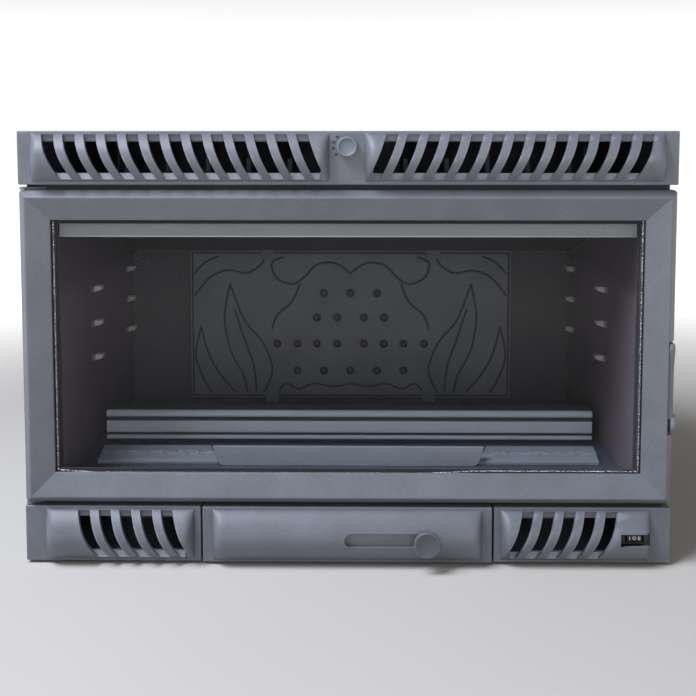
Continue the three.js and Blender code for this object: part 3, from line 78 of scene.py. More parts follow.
camera = bpy.data.objects.new("camera", bpy.data.cameras.new("camera"))
bpy.context.scene.collection.objects.link(camera)
camera.location = at(CAMERA_X, CAMERA_DEPTH, CAMERA_Z)
camera.rotation_euler = (math.radians(90 - LOOK_DOWN), 0, math.radians(LOOK_LEFT))
camera.data.sensor_width = 36
camera.data.lens = 36 * FOCAL_PX / IMAGE_PX
camera.data.shift_y = SHIFT_Y
bpy.context.scene.camera = camera
bpy.context.scene.view_settings.view_transform = "Standard"

# ---- Casing ---------------------------------------------------------------------------------
# Folded steel sheet: a base tray, one wrap for both sides and the top, and a rear panel. They
# are screwed together along their flanges and sprayed with matt grey stove paint.


def linear(hex_colour):
    """sRGB hex to the linear colour that the shaders use."""
    parts = [int(hex_colour[i:i + 2], 16) / 255 for i in (1, 3, 5)]
    return tuple(c / 12.92 if c <= 0.04045 else ((c + 0.055) / 1.055) ** 2.4 for c in parts) + (1,)


def node(tree, kind, settings=None, links=None):
    """Adds one shader node: settings set its fields or its sockets, links join its sockets."""
    added = tree.nodes.new(kind)
    for key, value in (settings or {}).items():
        if isinstance(key, str) and hasattr(added, key):
            setattr(added, key, value)
        else:
            added.inputs[key].default_value = value
    for key, source in (links or {}).items():
        tree.links.new(source, added.inputs[key])
    return added


def finish(name, **fixed):
    """A new named material: its tree, its Principled shader and the object's own coordinates."""
    material = bpy.data.materials.new(name)
    material.use_nodes = True
    tree = material.node_tree
    shader = tree.nodes["Principled BSDF"]
    for key, value in fixed.items():
        shader.inputs[key.replace("_", " ")].default_value = value
    return material, tree, shader, node(tree, "ShaderNodeTexCoord").outputs["Object"]


CLOUD_MM = 55                        # breadth of the clouds in a sprayed coat


def stove_paint(name, low, high, grit_mm, relief_mm, roughness, swell_mm, swell_relief_mm, edge_wear_and_highlight=None):
    """Silicone stove paint, sprayed and baked: a dry, slightly cloudy coat that shows the metal's
    own grit; its sharp edges are paler, partly rubbed and partly a painted highlight."""
    material, tree, shader, place = finish(name, IOR=1.5)
    cloud = node(tree, "ShaderNodeTexNoise", {"Scale": 1000 / CLOUD_MM, "Detail": 4, "Roughness": 0.6},
                 {"Vector": place})
    grit = node(tree, "ShaderNodeTexNoise", {"Scale": 1000 / grit_mm, "Detail": 3, "Roughness": 0.65},
                {"Vector": place})
    tone = node(tree, "ShaderNodeMath", {"operation": "ADD"},
                {0: cloud.outputs["Fac"], 1: grit.outputs["Fac"]})
    shade = node(tree, "ShaderNodeMapRange", {"From Min": 0.75, "From Max": 1.25}, {"Value": tone.outputs[0]})
    colour = node(tree, "ShaderNodeMix", {"data_type": "RGBA", 6: linear(low), 7: linear(high)},
                  {0: shade.outputs["Result"]})
    coat = colour.outputs[2]
    # Sharp edges painted paler: partly rubbed, partly a painted highlight of the light they catch.
    if edge_wear_and_highlight:
        edge = node(tree, "ShaderNodeNewGeometry").outputs["Pointiness"]
        edge_wear_and_highlight_share = node(tree, "ShaderNodeMapRange", {"From Min": 0.51, "From Max": 0.60, "To Max": 0.6},
                    {"Value": edge})
        coat = node(tree, "ShaderNodeMix", {"data_type": "RGBA", 7: linear(edge_wear_and_highlight)},
                    {0: edge_wear_and_highlight_share.outputs["Result"], 6: coat}).outputs[2]
    tree.links.new(coat, shader.inputs["Base Color"])
    dry = node(tree, "ShaderNodeMapRange", {"From Min": 0.3, "From Max": 0.7, "To Min": roughness - 0.06,
                                            "To Max": roughness + 0.08}, {"Value": grit.outputs["Fac"]})
    tree.links.new(dry.outputs["Result"], shader.inputs["Roughness"])
    swell = node(tree, "ShaderNodeTexNoise", {"Scale": 1000 / swell_mm, "Detail": 1}, {"Vector": place})
    waves = node(tree, "ShaderNodeBump", {"Distance": swell_relief_mm * MM}, {"Height": swell.outputs["Fac"]})
    bumps = node(tree, "ShaderNodeBump", {"Distance": relief_mm * MM},
                 {"Height": grit.outputs["Fac"], "Normal": waves.outputs["Normal"]})
    tree.links.new(bumps.outputs["Normal"], shader.inputs["Normal"])
    return material


SHARP_DEG = 38                       # edges sharper than this are broken


def break_edges(piece, edge_mm, segments):
    """Rounds the sharp edges of a piece with a fine bevel."""
    edge = piece.modifiers.new("edge", "BEVEL")
    edge.width = edge_mm * MM
    edge.segments = segments
    edge.limit_method = "ANGLE"
    edge.angle_limit = math.radians(SHARP_DEG)
    return edge


def dress(material, edge_mm, *names):
    """Gives CAD nodes their finish and breaks their edges by edge_mm, as their maker would."""
    for name in names:
        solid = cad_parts[name]
        solid.data.materials.clear()
        solid.data.materials.append(material)
        if edge_mm:
            weld = solid.modifiers.new("weld", "WELD")
            weld.merge_threshold = 0.02 * MM
            break_edges(solid, edge_mm, 2)


def closed_mesh(name, points, faces, merge_mm):
    """A mesh from points in metres, its doubled points merged and its faces turned outwards."""
    mesh = bpy.data.meshes.new(name)
    mesh.from_pydata([tuple(p) for p in points], [], faces)
    work = bmesh.new()
    work.from_mesh(mesh)
    bmesh.ops.remove_doubles(work, verts=work.verts, dist=merge_mm * MM)
    bmesh.ops.recalc_face_normals(work, faces=work.faces)
    work.to_mesh(mesh)
    work.free()
    return mesh


def build(name, points, faces, material, body, slot, edge_mm=0.0, smooth=False, stands_for=()):
    """A mesh piece from points in metres, riding on a body; it may stand for CAD nodes."""
    mesh = closed_mesh(name, points, faces, 0.01)
    piece = bpy.data.objects.new(name, mesh)
    bpy.context.scene.collection.objects.link(piece)
    mesh.materials.append(material)
    if smooth:
        mesh.shade_smooth()
    if edge_mm:
        break_edges(piece, edge_mm, 3).harden_normals = smooth
    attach(piece, body)
    if stands_for:
        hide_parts(*stands_for)
    return piece


def skin(count, rings, closed=False):
    """Faces between successive rings of count points; closed joins the last ring to the first."""
    return [(r * count + i, r * count + (i + 1) % count, n * count + (i + 1) % count, n * count + i)
            for r, n in ((r, (r + 1) % rings) for r in range(rings if closed else rings - 1))
            for i in range(count)]


def capped(count, rings):
    """Faces of a body made of rings, with a flat end on its first ring and on its last."""
    return skin(count, rings) + [tuple(range(count)), tuple(range((rings - 1) * count, rings * count))]


def lathe(centre, axis, outline, sides=64):
    """Points and faces of a turned body: (radius, offset along the axis) in millimetres."""
    along = Vector({"x": (1, 0, 0), "y": (0, 1, 0), "z": (0, 0, 1)}[axis])
    u = Vector({"x": (0, 1, 0), "y": (1, 0, 0), "z": (1, 0, 0)}[axis])
    v = along.cross(u)
    points = []
    for radius, offset in outline:
        for k in range(sides):
            turn = 2 * math.pi * k / sides
            points.append(centre + (along * offset + (u * math.cos(turn) + v * math.sin(turn)) * radius) * MM)
    return points, skin(sides, len(outline))


def merged(*bodies):
    """Several sets of points and faces as one."""
    points, faces = [], []
    for body_points, body_faces in bodies:
        faces += [tuple(i + len(points) for i in face) for face in body_faces]
        points += list(body_points)
    return points, faces


def bar(x0, x1, d0, d1, z0, z1):
    """Points and faces of a straight bar between two x, two depths and two heights."""
    points = [at(x, d, z) for x in (x0, x1) for d in (d0, d1) for z in (z0, z1)]
    return points, [(0, 1, 3, 2), (4, 6, 7, 5), (0, 4, 5, 1), (2, 3, 7, 6), (0, 2, 6, 4), (1, 5, 7, 3)]


# An even matt grey with faint broad clouds, smoother than the paint on the castings.
sheet_paint = stove_paint("stove_paint_on_steel_sheet", "#666B72", "#6E737A", 2.2, 0.03, 0.55, 90, 0.25)
dress(sheet_paint, 0.4, "base_tray")
dress(sheet_paint, 0.5, "casing_wrap")
dress(sheet_paint, 0.4, "casing_back")


def grained(name, low, high, grain_mm, detail=2, gloss=None, relief_mm=0, stretch=None, **fixed):
    """A material in two close tones of one fine grain; gloss is the range of its roughness."""
    material, tree, shader, place = finish(name, **fixed)
    if stretch:
        place = node(tree, "ShaderNodeMapping", {"Scale": stretch}, {"Vector": place}).outputs["Vector"]
    grain = node(tree, "ShaderNodeTexNoise", {"Scale": 1000 / grain_mm, "Detail": detail}, {"Vector": place})
    tone = node(tree, "ShaderNodeMix", {"data_type": "RGBA", 6: linear(low), 7: linear(high)},
                {0: grain.outputs["Fac"]})
    tree.links.new(tone.outputs[2], shader.inputs["Base Color"])
    if gloss:
        sheen = node(tree, "ShaderNodeMapRange", {"To Min": gloss[0], "To Max": gloss[1]},
                     {"Value": grain.outputs["Fac"]})
        tree.links.new(sheen.outputs["Result"], shader.inputs["Roughness"])
    if relief_mm:
        bumps = node(tree, "ShaderNodeBump", {"Distance": relief_mm * MM}, {"Height": grain.outputs["Fac"]})
        tree.links.new(bumps.outputs["Normal"], shader.inputs["Normal"])
    return material


# Pan-head screws, zinc plated to a cool satin, hold the rear panel and the wrap to their flanges.
screw_steel = grained("zinc_plated_steel_screws", "#8F9294", "#B9BBBC", 3, 3, (0.3, 0.5), Metallic=1.0)


def screw_head(x, depth, z, axis, out):
    """A pan head with a hexagon recess; out is +1 or -1 along the axis."""
    rim = [(4.2, 1.5), (4.5, 0.6), (4.5, 0.0)]
    drive = [(0.01, 1.4), (1.7, 1.4), (1.9, 2.45)]
    return merged(*(lathe(at(x, depth, z), axis, [(r, h * out) for r, h in outline], 20)
                    for outline in (rim + [(0.01, 0)], drive + rim[:1])))


case_low, case_high = (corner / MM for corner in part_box("casing_wrap"))
back_screws = [(x, z) for x in (-320, -110, 110, 320) for z in (case_low.z + 20, case_high.z - 24)]
back_screws += [(side * 326, z) for side in (-1, 1) for z in (150, 240, 330)]
build("casing_screws", *merged(
    *(screw_head(x, BODY_DEPTH, z, "y", 1) for x, z in back_screws),
    *(screw_head(side * case_high.x, depth, 12, "x", side)
      for side in (-1, 1) for depth in (60, 160, 260, 360)),
), screw_steel, "insert", "bright_steel", smooth=True)

# ---- Firebox --------------------------------------------------------------------------------
# Plates of grey cast iron bolted into an open box: floor, two lugged sides, back, ribbed top,
# and the front plate that all the castings of the facade are fixed to.
# Heat paint bakes to a dry charcoal; on the side walls soot and ash lend it a warm, purplish cast, and the
# walls' sharp edges are paler, partly rubbed and partly a painted highlight.
heat_paint = stove_paint("dark_heat_paint_on_cast_iron", "#35333A", "#434148", 3.0, 0.10, 0.66, 18, 0.25)
side_paint = stove_paint("sooted_heat_paint_on_cast_iron", "#4A3D45", "#5D5059", 3.0, 0.06, 0.66, 18, 0.2,
                         "#A79FA3")
floor_paint = stove_paint("blue_grey_heat_paint_on_cast_iron", "#464B59", "#555B6B", 3.0, 0.10, 0.62,
                          18, 0.25)


def tinted(material, axis, clean, full, colour):
    """Lets a paint pass into another colour between two places along an axis, in millimetres."""
    tree = material.node_tree
    base = tree.nodes["Principled BSDF"].inputs["Base Color"]
    place = node(tree, "ShaderNodeTexCoord").outputs["Object"]
    split = node(tree, "ShaderNodeSeparateXYZ", links={0: place})
    reach = split.outputs[axis]
    if axis == "X":
        reach = node(tree, "ShaderNodeMath", {"operation": "ABSOLUTE"}, {0: reach}).outputs[0]
    share = node(tree, "ShaderNodeMapRange", {"From Min": clean * MM, "From Max": full * MM},
                 {"Value": reach})
    blend = node(tree, "ShaderNodeMix", {"data_type": "RGBA", 7: linear(colour)},
                 {0: share.outputs["Result"], 6: base.links[0].from_socket})
    tree.links.new(blend.outputs[2], base)


# The lugs of the side walls are painted paler, a painted highlight where they stand out into the light; above
# the lugs the walls are darker.
side_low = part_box("firebox_side_right")[0] / MM
LUG_FOOT, LUG_FACE = 10, 7.5
DARKER_Z0, DARKER_Z1 = 284, 300
tinted(side_paint, "X", side_low.x + LUG_FOOT, side_low.x + LUG_FACE, "#B0A8AD")
tinted(side_paint, "Z", DARKER_Z0, DARKER_Z1, "#463A42")
dress(heat_paint, 0.6, "front_frame")
dress(floor_paint, 0.6, "firebox_floor")
dress(side_paint, 0.9, "firebox_side_left", "firebox_side_right")
dress(heat_paint, 0.8, "firebox_top", "baffle_plate")

# ---- Fireback plate -------------------------------------------------------------------------
# A cast plate hung on four hooks, with countersunk air holes in four rows. A plain border and
# foliage of a stock kind are engraved into the pattern that it was cast from.
plate_low, plate_high = (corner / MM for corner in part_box("fireback_plate"))
PLATE_T = plate_high.y - plate_low.y
GROOVE_R, GROOVE_DEEP = 2.1, 1.8
GROOVE_REACH = 3                     # how far from a line the grid is searched
GRID = 1.6
EDGE_EASE = 0.7                      # how far the plate's rim falls back
holes = [(x, 239) for x in (-38, 0, 38)] + [(x, 204) for x in (-48, -19, 19, 48)]
holes += [(x, 166) for x in (-105, -76, -48, -19, 19, 48, 76, 105)]
holes += [(x, 127) for x in (-76, -38, 0, 38, 76)]


def flowing(stops, steps=9):
    """A smooth engraved line through its stops."""
    line = []
    for k in range(len(stops) - 1):
        p0, p1 = stops[max(k - 1, 0)], stops[k]
        p2, p3 = stops[k + 1], stops[min(k + 2, len(stops) - 1)]
        for t in (n / steps for n in range(steps)):
            line.append(tuple(0.5 * (2 * p1[c] + (p2[c] - p0[c]) * t
                                     + (2 * p0[c] - 5 * p1[c] + 4 * p2[c] - p3[c]) * t ** 2
                                     + (3 * p1[c] - p0[c] - 3 * p2[c] + p3[c]) * t ** 3) for c in (0, 1)))
    return line + [stops[-1]]


# Broad leaves at the sides and a looped band over the holes.
leaves = [
    [(124, 96), (112, 128), (126, 168), (152, 200), (172, 252)],
    [(172, 252), (180, 204), (172, 156), (154, 120), (148, 96)],
    [(135, 98), (139, 134), (152, 172), (166, 216)],
    [(166, 96), (188, 122), (204, 152), (214, 190)],
    [(214, 190), (222, 150), (212, 116), (200, 96)],
    [(0, 268), (22, 282), (48, 280), (66, 262), (84, 252), (106, 262), (112, 282), (96, 291)],
    [(222, 236), (200, 262), (174, 272), (148, 268), (128, 280), (122, 292)],
    [(222, 268), (206, 284), (188, 292)],
    [(72, 252), (84, 226), (104, 208), (112, 188)],
    [(0, 108), (26, 104), (52, 108), (74, 100), (92, 108), (104, 96)],
]
grooves = [flowing([(side * x, z) for x, z in leaf]) for leaf in leaves for side in (-1, 1)]
BORDER = 2 * GRID
border_x, border_z0, border_z1 = plate_high.x - BORDER, plate_low.z + BORDER, plate_high.z - BORDER
grooves.append([(-border_x, border_z0), (border_x, border_z0), (border_x, border_z1),
                (-border_x, border_z1), (-border_x, border_z0)])


def reached(a, b, origin, step, count):
    """The inner grid lines that a groove from a to b can touch."""
    return range(max(1, int((min(a, b) - GROOVE_REACH - origin) / step)),
                 min(count, int((max(a, b) + GROOVE_REACH - origin) / step) + 2))


def groove_map(x0, z0, step_x, step_z, columns, rows):
    """How deep the engraving is at each grid point near a line."""
    depth = {}
    for line in grooves:
        for (ax, az), (bx, bz) in zip(line, line[1:]):
            run = (bx - ax) ** 2 + (bz - az) ** 2 + 1e-9
            for j in reached(az, bz, z0, step_z, rows):
                for i in reached(ax, bx, x0, step_x, columns):
                    x, z = x0 + i * step_x, z0 + j * step_z
                    t = max(0.0, min(1.0, ((x - ax) * (bx - ax) + (z - az) * (bz - az)) / run))
                    near = math.hypot(x - ax - t * (bx - ax), z - az - t * (bz - az))
                    if near < GROOVE_R:
                        sunk = GROOVE_DEEP * 0.5 * (1 + math.cos(math.pi * near / GROOVE_R))
                        depth[i, j] = max(depth.get((i, j), 0.0), sunk)
    return depth


def engraved_plate():
    """A closed plate whose face is a fine grid sunk along the engraved lines."""
    columns = round((plate_high.x - plate_low.x) / GRID)
    rows = round((plate_high.z - plate_low.z) / GRID)
    step_x = (plate_high.x - plate_low.x) / columns
    step_z = (plate_high.z - plate_low.z) / rows
    sunk = groove_map(plate_low.x, plate_low.z, step_x, step_z, columns, rows)
    points = []
    for j in range(rows + 1):
        for i in range(columns + 1):
            depth = sunk.get((i, j), 0.0) if 0 < i < columns and 0 < j < rows else EDGE_EASE
            points.append(Vector((plate_low.x + i * step_x, plate_low.y + depth,
                                  plate_low.z + j * step_z)) * MM)
    wide = columns + 1
    faces = [(j * wide + i, j * wide + i + 1, (j + 1) * wide + i + 1, (j + 1) * wide + i)
             for j in range(rows) for i in range(columns)]
    rim = list(range(wide)) + [j * wide + columns for j in range(1, rows + 1)]
    rim += [rows * wide + i for i in range(columns - 1, -1, -1)] + [j * wide for j in range(rows - 1, 0, -1)]
    start = len(points)
    points += [Vector((points[i].x, plate_high.y * MM, points[i].z)) for i in rim]
    faces += [(rim[k], start + k, start + (k + 1) % len(rim), rim[(k + 1) % len(rim)])
              for k in range(len(rim))]
    faces.append(tuple(range(start, start + len(rim))))
    return points, faces


def carve(piece, points, faces):
    """Cuts a closed body out of a piece and keeps the result as the piece's own mesh."""
    tool = bpy.data.objects.new("cutter", closed_mesh("cutter", points, faces, 0.001))
    bpy.context.scene.collection.objects.link(tool)
    later = [(m.name, m.show_viewport) for m in piece.modifiers if m.type == "BEVEL"]
    for name, _ in later:
        piece.modifiers[name].show_viewport = False
    cutting = piece.modifiers.new("cut", "BOOLEAN")
    cutting.operation = "DIFFERENCE"
    cutting.solver = "EXACT"
    cutting.object = tool
    graph = bpy.context.evaluated_depsgraph_get()
    cut_mesh = bpy.data.meshes.new_from_object(piece.evaluated_get(graph))
    for modifier in [m for m in piece.modifiers if m.type != "BEVEL"]:
        piece.modifiers.remove(modifier)
    piece.data = cut_mesh
    for name, shown in later:
        piece.modifiers[name].show_viewport = shown
    bpy.data.objects.remove(tool)


# Painted shade: the fireback darkens with depth into its engraving and its holes, and the back wall darkens
# behind the plate, while the hooks in front stay light. The rims of the holes are paler, partly rubbed and
# partly a painted highlight.
FACE_UNSHADED, HOOK_UNSHADED, SHADE_FULL_DEPTH = 0.25, 0.2, 1.5
fireback_paint = stove_paint("heat_paint_on_fireback_casting", "#565A61", "#686C74", 2.6, 0.12, 0.6, 14, 0.3,
                             "#7A7E86")
tinted(fireback_paint, "Y", plate_low.y + FACE_UNSHADED, plate_low.y + SHADE_FULL_DEPTH, "#141416")
hook_paint = stove_paint("dark_heat_paint_on_back_casting", "#565A61", "#63676E", 3.0, 0.10, 0.62, 18, 0.25)
tinted(hook_paint, "Y", plate_low.y + HOOK_UNSHADED, plate_low.y + SHADE_FULL_DEPTH, "#3C3A41")
dress(hook_paint, 0.8, "firebox_back")
fireback = build("fireback", *engraved_plate(), fireback_paint, "insert", "dark_cast",
                 stands_for=["fireback_plate"])
sink = [(0.01, -2), (7.9, -2), (6.8, -0.05), (3.3, 3.4), (3.3, PLATE_T + 1), (0.01, PLATE_T + 1)]
carve(fireback, *merged(*(lathe(Vector((x, plate_low.y, z)) * MM, "y", sink, 28) for x, z in holes)))

# ---- Flue socket and deflector --------------------------------------------------------------
# The socket is a turned ring of cast iron bolted through its flange; the deflector under the
# door's top edge is folded steel sprayed a paler grey.
collar_low, collar_high = (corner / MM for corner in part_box("flue_collar"))
flue_x, flue_y = (collar_low.x + collar_high.x) / 2, (collar_low.y + collar_high.y) / 2
FLUE_R, FLANGE_R = 75, collar_high.x - flue_x
# A cool blue-grey with the grit of the casting under it, paler on its edges: partly rubbed, partly a painted
# highlight.
cast_paint = stove_paint("blue_grey_stove_paint_on_cast_iron", "#5F666F", "#6D747E", 2.4, 0.10, 0.56, 16, 0.35,
                         "#7C838C")
collar = build("flue_socket", *lathe(Vector((flue_x, flue_y, 0)) * MM, "z", [
    (FLUE_R, collar_low.z), (FLANGE_R - 0.8, collar_low.z), (FLANGE_R, collar_low.z + 0.8),
    (FLANGE_R, collar_low.z + 5), (FLANGE_R - 1, collar_low.z + 6), (FLUE_R + 9, collar_low.z + 7),
    (FLUE_R + 7, collar_low.z + 8), (FLUE_R + 6, collar_low.z + 10), (FLUE_R + 6, collar_high.z - 3),
    (FLUE_R + 4, collar_high.z), (FLUE_R + 0.8, collar_high.z), (FLUE_R, collar_high.z - 0.8),
    (FLUE_R, collar_low.z),
], 96), cast_paint, "insert", "painted_cast", smooth=True, stands_for=["flue_collar"])
spindle_low, spindle_high = (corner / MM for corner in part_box("damper_spindle"))
SPINDLE_Z = (spindle_low.z + spindle_high.z) / 2
SPINDLE_R = (spindle_high.z - spindle_low.z) / 2
BORE_R = SPINDLE_R + 0.3
bore = [(0.01, -130), (BORE_R, -130), (BORE_R, 130), (0.01, 130)]
carve(collar, *lathe(Vector((flue_x, flue_y, SPINDLE_Z)) * MM, "y", bore, 24))
for polygon in collar.data.polygons:
    polygon.use_smooth = True
collar_edge = collar.modifiers.new("smooth", "EDGE_SPLIT")
collar_edge.split_angle = math.radians(32)
BOLT_RING_R = FLANGE_R - 8
build("flue_socket_bolts", *merged(*(
    lathe(Vector((flue_x + BOLT_RING_R * math.cos(math.radians(a)),
                  flue_y + BOLT_RING_R * math.sin(math.radians(a)), collar_low.z + 5.6)) * MM, "z",
          [(5.2, 0), (5.2, 3.2), (4.6, 3.9), (0.01, 3.9)], 6)
    for a in (45, 135, 225, 315)
)), screw_steel, "insert", "bright_steel")

# Paler and smoother than the castings round it, so that it reads as a light band.
deflector_paint = stove_paint("pale_grey_paint_on_folded_steel", "#85898E", "#8E9297", 2.2, 0.02, 0.5,
                              60, 0.15)
dress(deflector_paint, 0.5, "air_wash_deflector")
wash_low, wash_high = (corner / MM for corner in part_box("air_wash_deflector"))


def moulding(outline, x0, x1, sections=1):
    """A (y, z) outline drawn along x, in metres, with closed ends."""
    points = [Vector((x0 + (x1 - x0) * s / sections, y, z)) * MM
              for s in range(sections + 1) for y, z in outline]
    return points, capped(len(outline), sections + 1)


# The sheet's lower edge is rolled into a fine hem, painted paler as a painted highlight of the light along it.
HEM_R, HEM_IN = 0.95, 0.6
hem_highlight_paint = stove_paint("pale_paint_with_painted_highlight_on_rolled_hem", "#B4B8BD", "#C6CACF", 2.2, 0.02, 0.45, 60, 0.1)
hem = [(wash_low.y + HEM_IN + HEM_R * math.cos(math.radians(a)),
        wash_low.z + HEM_R + HEM_R * math.sin(math.radians(a))) for a in range(0, 360, 30)]
build("deflector_hem", *moulding(hem, wash_low.x, wash_high.x), hem_highlight_paint, "insert", "deflector_steel",
      smooth=True)

# ---- Hearth ---------------------------------------------------------------------------------
# Sand-cast pieces standing on the firebox floor: a long moulded log guard, a low apron
# between two sloping blocks, and a slotted grate let into the floor.
# Lighter than the facade. Coarse to the eye, because the sand's grain shows through the paint; its sharp edges
# are paler, partly rubbed and partly a painted highlight.
hearth_paint = stove_paint("blue_grey_stove_paint_on_hearth_castings", "#858D97", "#939BA6", 2.6, 0.14, 0.5,
                           9, 0.5, "#A8B0BA")
guard_low, guard_high = (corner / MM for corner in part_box("log_guard"))


def bend(before, corner, after, radius, shares):
    """Points at the given shares of the turn that rounds a corner off between its neighbours."""
    start = corner + (before - corner).normalized() * radius
    end = corner + (after - corner).normalized() * radius
    return [tuple(start * (1 - t) ** 2 + corner * 2 * t * (1 - t) + end * t ** 2) for t in shares]


def rounded(outline, radius, steps=4):
    """A closed outline with each corner rounded off, as far as its sides allow."""
    soft = []
    for k, here in enumerate(outline):
        before, corner, after = Vector(outline[k - 1]), Vector(here), Vector(outline[(k + 1) % len(outline)])
        r = min(radius, 0.45 * (before - corner).length, 0.45 * (after - corner).length)
        soft += bend(before, corner, after, r, [k / steps for k in range(steps + 1)])
    return soft


g, top, foot = guard_low.y, guard_high.z, guard_low.z
guard_section = rounded([
    (g + 16.3, top), (g + 4.5, top - 4.0), (g + 0.3, top - 7.5), (g + 0.8, top - 12), (g + 6.5, top - 14),
    (g + 6.5, top - 17), (g + 1.3, top - 18.5), (g + 1.3, top - 32), (g + 6, top - 33.4), (g + 6, top - 35.2),
    (g + 1.2, top - 36.2), (g + 1.0, top - 40.2), (g + 6.2, top - 41.6), (g + 6.2, foot), (g + 24.2, foot),
    (g + 24.2, foot + 5), (g + 12.2, foot + 7), (g + 12.2, top - 10), (g + 20.2, top - 4),
], 1.5)
# The guard is painted paler than the other hearth castings, a painted highlight of the light on its front; its
# grooves darken with depth as painted shade, and its sharp edges are paler, partly rubbed and partly a painted
# highlight.
guard_paint = stove_paint("blue_grey_stove_paint_on_log_guard", "#AAB3BE", "#BBC4D0", 2.6, 0.14, 0.5, 9, 0.5,
                          "#C8D0DA")
RIDGE_UNSHADED, GROOVE_SHADED = 3.0, 5.0
tinted(guard_paint, "Y", g + RIDGE_UNSHADED, g + GROOVE_SHADED, "#33373F")
build("log_guard_casting", *moulding(guard_section, guard_low.x, guard_high.x), guard_paint, "insert",
      "painted_cast", stands_for=["log_guard"])
dress(hearth_paint, 1.0, "hearth_apron")

APRON_HALF, SPLAY = 152, 13          # inner edge at the front, and how far it leans out to the back
LIP_RISE, TOP_CLEAR = 4.2, 5.2
CREST_AT, CREST_WIDE = 0.5, 0.11     # where the roughest band lies, as a share of the depth
SKIN, CREST_SKIN = 0.25, 3.2         # how rough the skin is, and how much more so in that band


def sloping_block(low, high, side):
    """A wedge whose top keeps the rough skin of the sand it was cast in, with a smooth front lip."""
    columns, rows = 70, 22
    points, faces = [], []
    for v in range(rows + 1):
        share = v / rows
        for u in range(columns + 1):
            near = APRON_HALF + SPLAY * share
            x = side * (near + (high.x - near if side > 0 else -low.x - near) * u / columns)
            y = low.y + (high.y - low.y) * share
            rough = (noise.noise(Vector((x / 7, y / 3.2, 3.0)))
                     + 0.6 * noise.noise(Vector((x / 2.6, y / 1.8, 9.0))))
            crest = math.exp(-((share - CREST_AT) / CREST_WIDE) ** 2)
            climb = min(1.0, share * 1.05)
            rise = LIP_RISE + (high.z - low.z - TOP_CLEAR) * climb ** 0.9
            rise += rough * (SKIN + CREST_SKIN * crest) * math.sin(math.pi * climb) + 0.5 * crest
            points.append(Vector((x, y, low.z + rise)) * MM)
    wide, top_count = columns + 1, len(points)
    points += [Vector((p.x, p.y, low.z * MM)) for p in points]
    for v in range(rows):
        for u in range(columns):
            ring = (v * wide + u, v * wide + u + 1, (v + 1) * wide + u + 1, (v + 1) * wide + u)
            faces += [ring, tuple(top_count + i for i in ring[::-1])]
    rim = list(range(columns)) + [v * wide + columns for v in range(rows)]
    rim += [rows * wide + u for u in range(columns, 0, -1)] + [v * wide for v in range(rows, 0, -1)]
    faces += [(rim[k], rim[(k + 1) % len(rim)], top_count + rim[(k + 1) % len(rim)], top_count + rim[k])
              for k in range(len(rim))]
    return points, faces


for side, label in ((-1, "left"), (1, "right")):
    low, high = (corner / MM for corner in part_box("hearth_block_" + label))
    build("sloping_block_" + label, *sloping_block(low, high, side), hearth_paint, "insert", "painted_cast",
          edge_mm=0.7, smooth=True, stands_for=["hearth_block_" + label])
dress(floor_paint, 0.8, "ash_grate")

# ---- Door -----------------------------------------------------------------------------------
# One cast frame whose section rises from a bevelled outer edge to a ridge and falls back to a
# thin lip; the glass lies behind the lip on a flat braid and is held by four steel bars.
door_low, door_high = (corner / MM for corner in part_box("door_frame"))
# The facade's blue-grey: fine grit, a soft low sheen on the slopes, and edges a tone paler, partly rubbed and
# partly a painted highlight.
facade_paint = stove_paint("blue_grey_stove_paint_on_facade_castings", "#5B5E65", "#686B73", 2.0, 0.05, 0.48,
                           22, 0.3, "#84878E")
RIDGE_Y, DOOR_BACK_Y = door_low.y, door_high.y
door_section = [
    (0, DOOR_BACK_Y), (0, RIDGE_Y + 10), (7.5, RIDGE_Y), (32.5, RIDGE_Y + 10), (32.5, RIDGE_Y + 13.3),
    (24, RIDGE_Y + 13.3), (24, DOOR_BACK_Y), (19, DOOR_BACK_Y), (19, DOOR_BACK_Y - 4), (9, DOOR_BACK_Y - 4),
    (9, DOOR_BACK_Y),
]


def framed(low, high, outline, corner_r, steps=6):
    """A closed (inset, y) section led round a rectangle with rounded corners."""
    points = []
    corners = [(high.x, high.z, -1, -1, 0), (low.x, high.z, 1, -1, 90), (low.x, low.z, 1, 1, 180),
               (high.x, low.z, -1, 1, 270)]
    for inset, y in outline:
        r = max(corner_r - inset * 0.5, 0.4)
        for cx, cz, sx, sz, start in corners:
            for k in range(steps + 1):
                turn = math.radians(start + 90 * k / steps)
                points.append(Vector((cx + sx * (inset + r) + r * math.cos(turn), y,
                                      cz + sz * (inset + r) + r * math.sin(turn))) * MM)
    return points, skin(4 * (steps + 1), len(outline), closed=True)


def eased(outline, easing):
    """An outline whose corners are each cut back by their own small radius."""
    soft = []
    for k, (here, r) in enumerate(zip(outline, easing)):
        if r:
            before, after = Vector(outline[k - 1]), Vector(outline[(k + 1) % len(outline)])
            soft += bend(before, Vector(here), after, r, (0, 0.33, 0.67, 1))
        else:
            soft.append(here)
    return soft


door = build("door_casting", *framed(door_low, door_high, eased(
    door_section, [0.5, 1.0, 1.8, 1.0, 1.0, 0, 0, 0, 0, 0, 0]), 4), facade_paint, "door", "painted_cast",
    stands_for=["door_frame"])
lever_low, lever_high = (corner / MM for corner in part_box("handle_lever"))
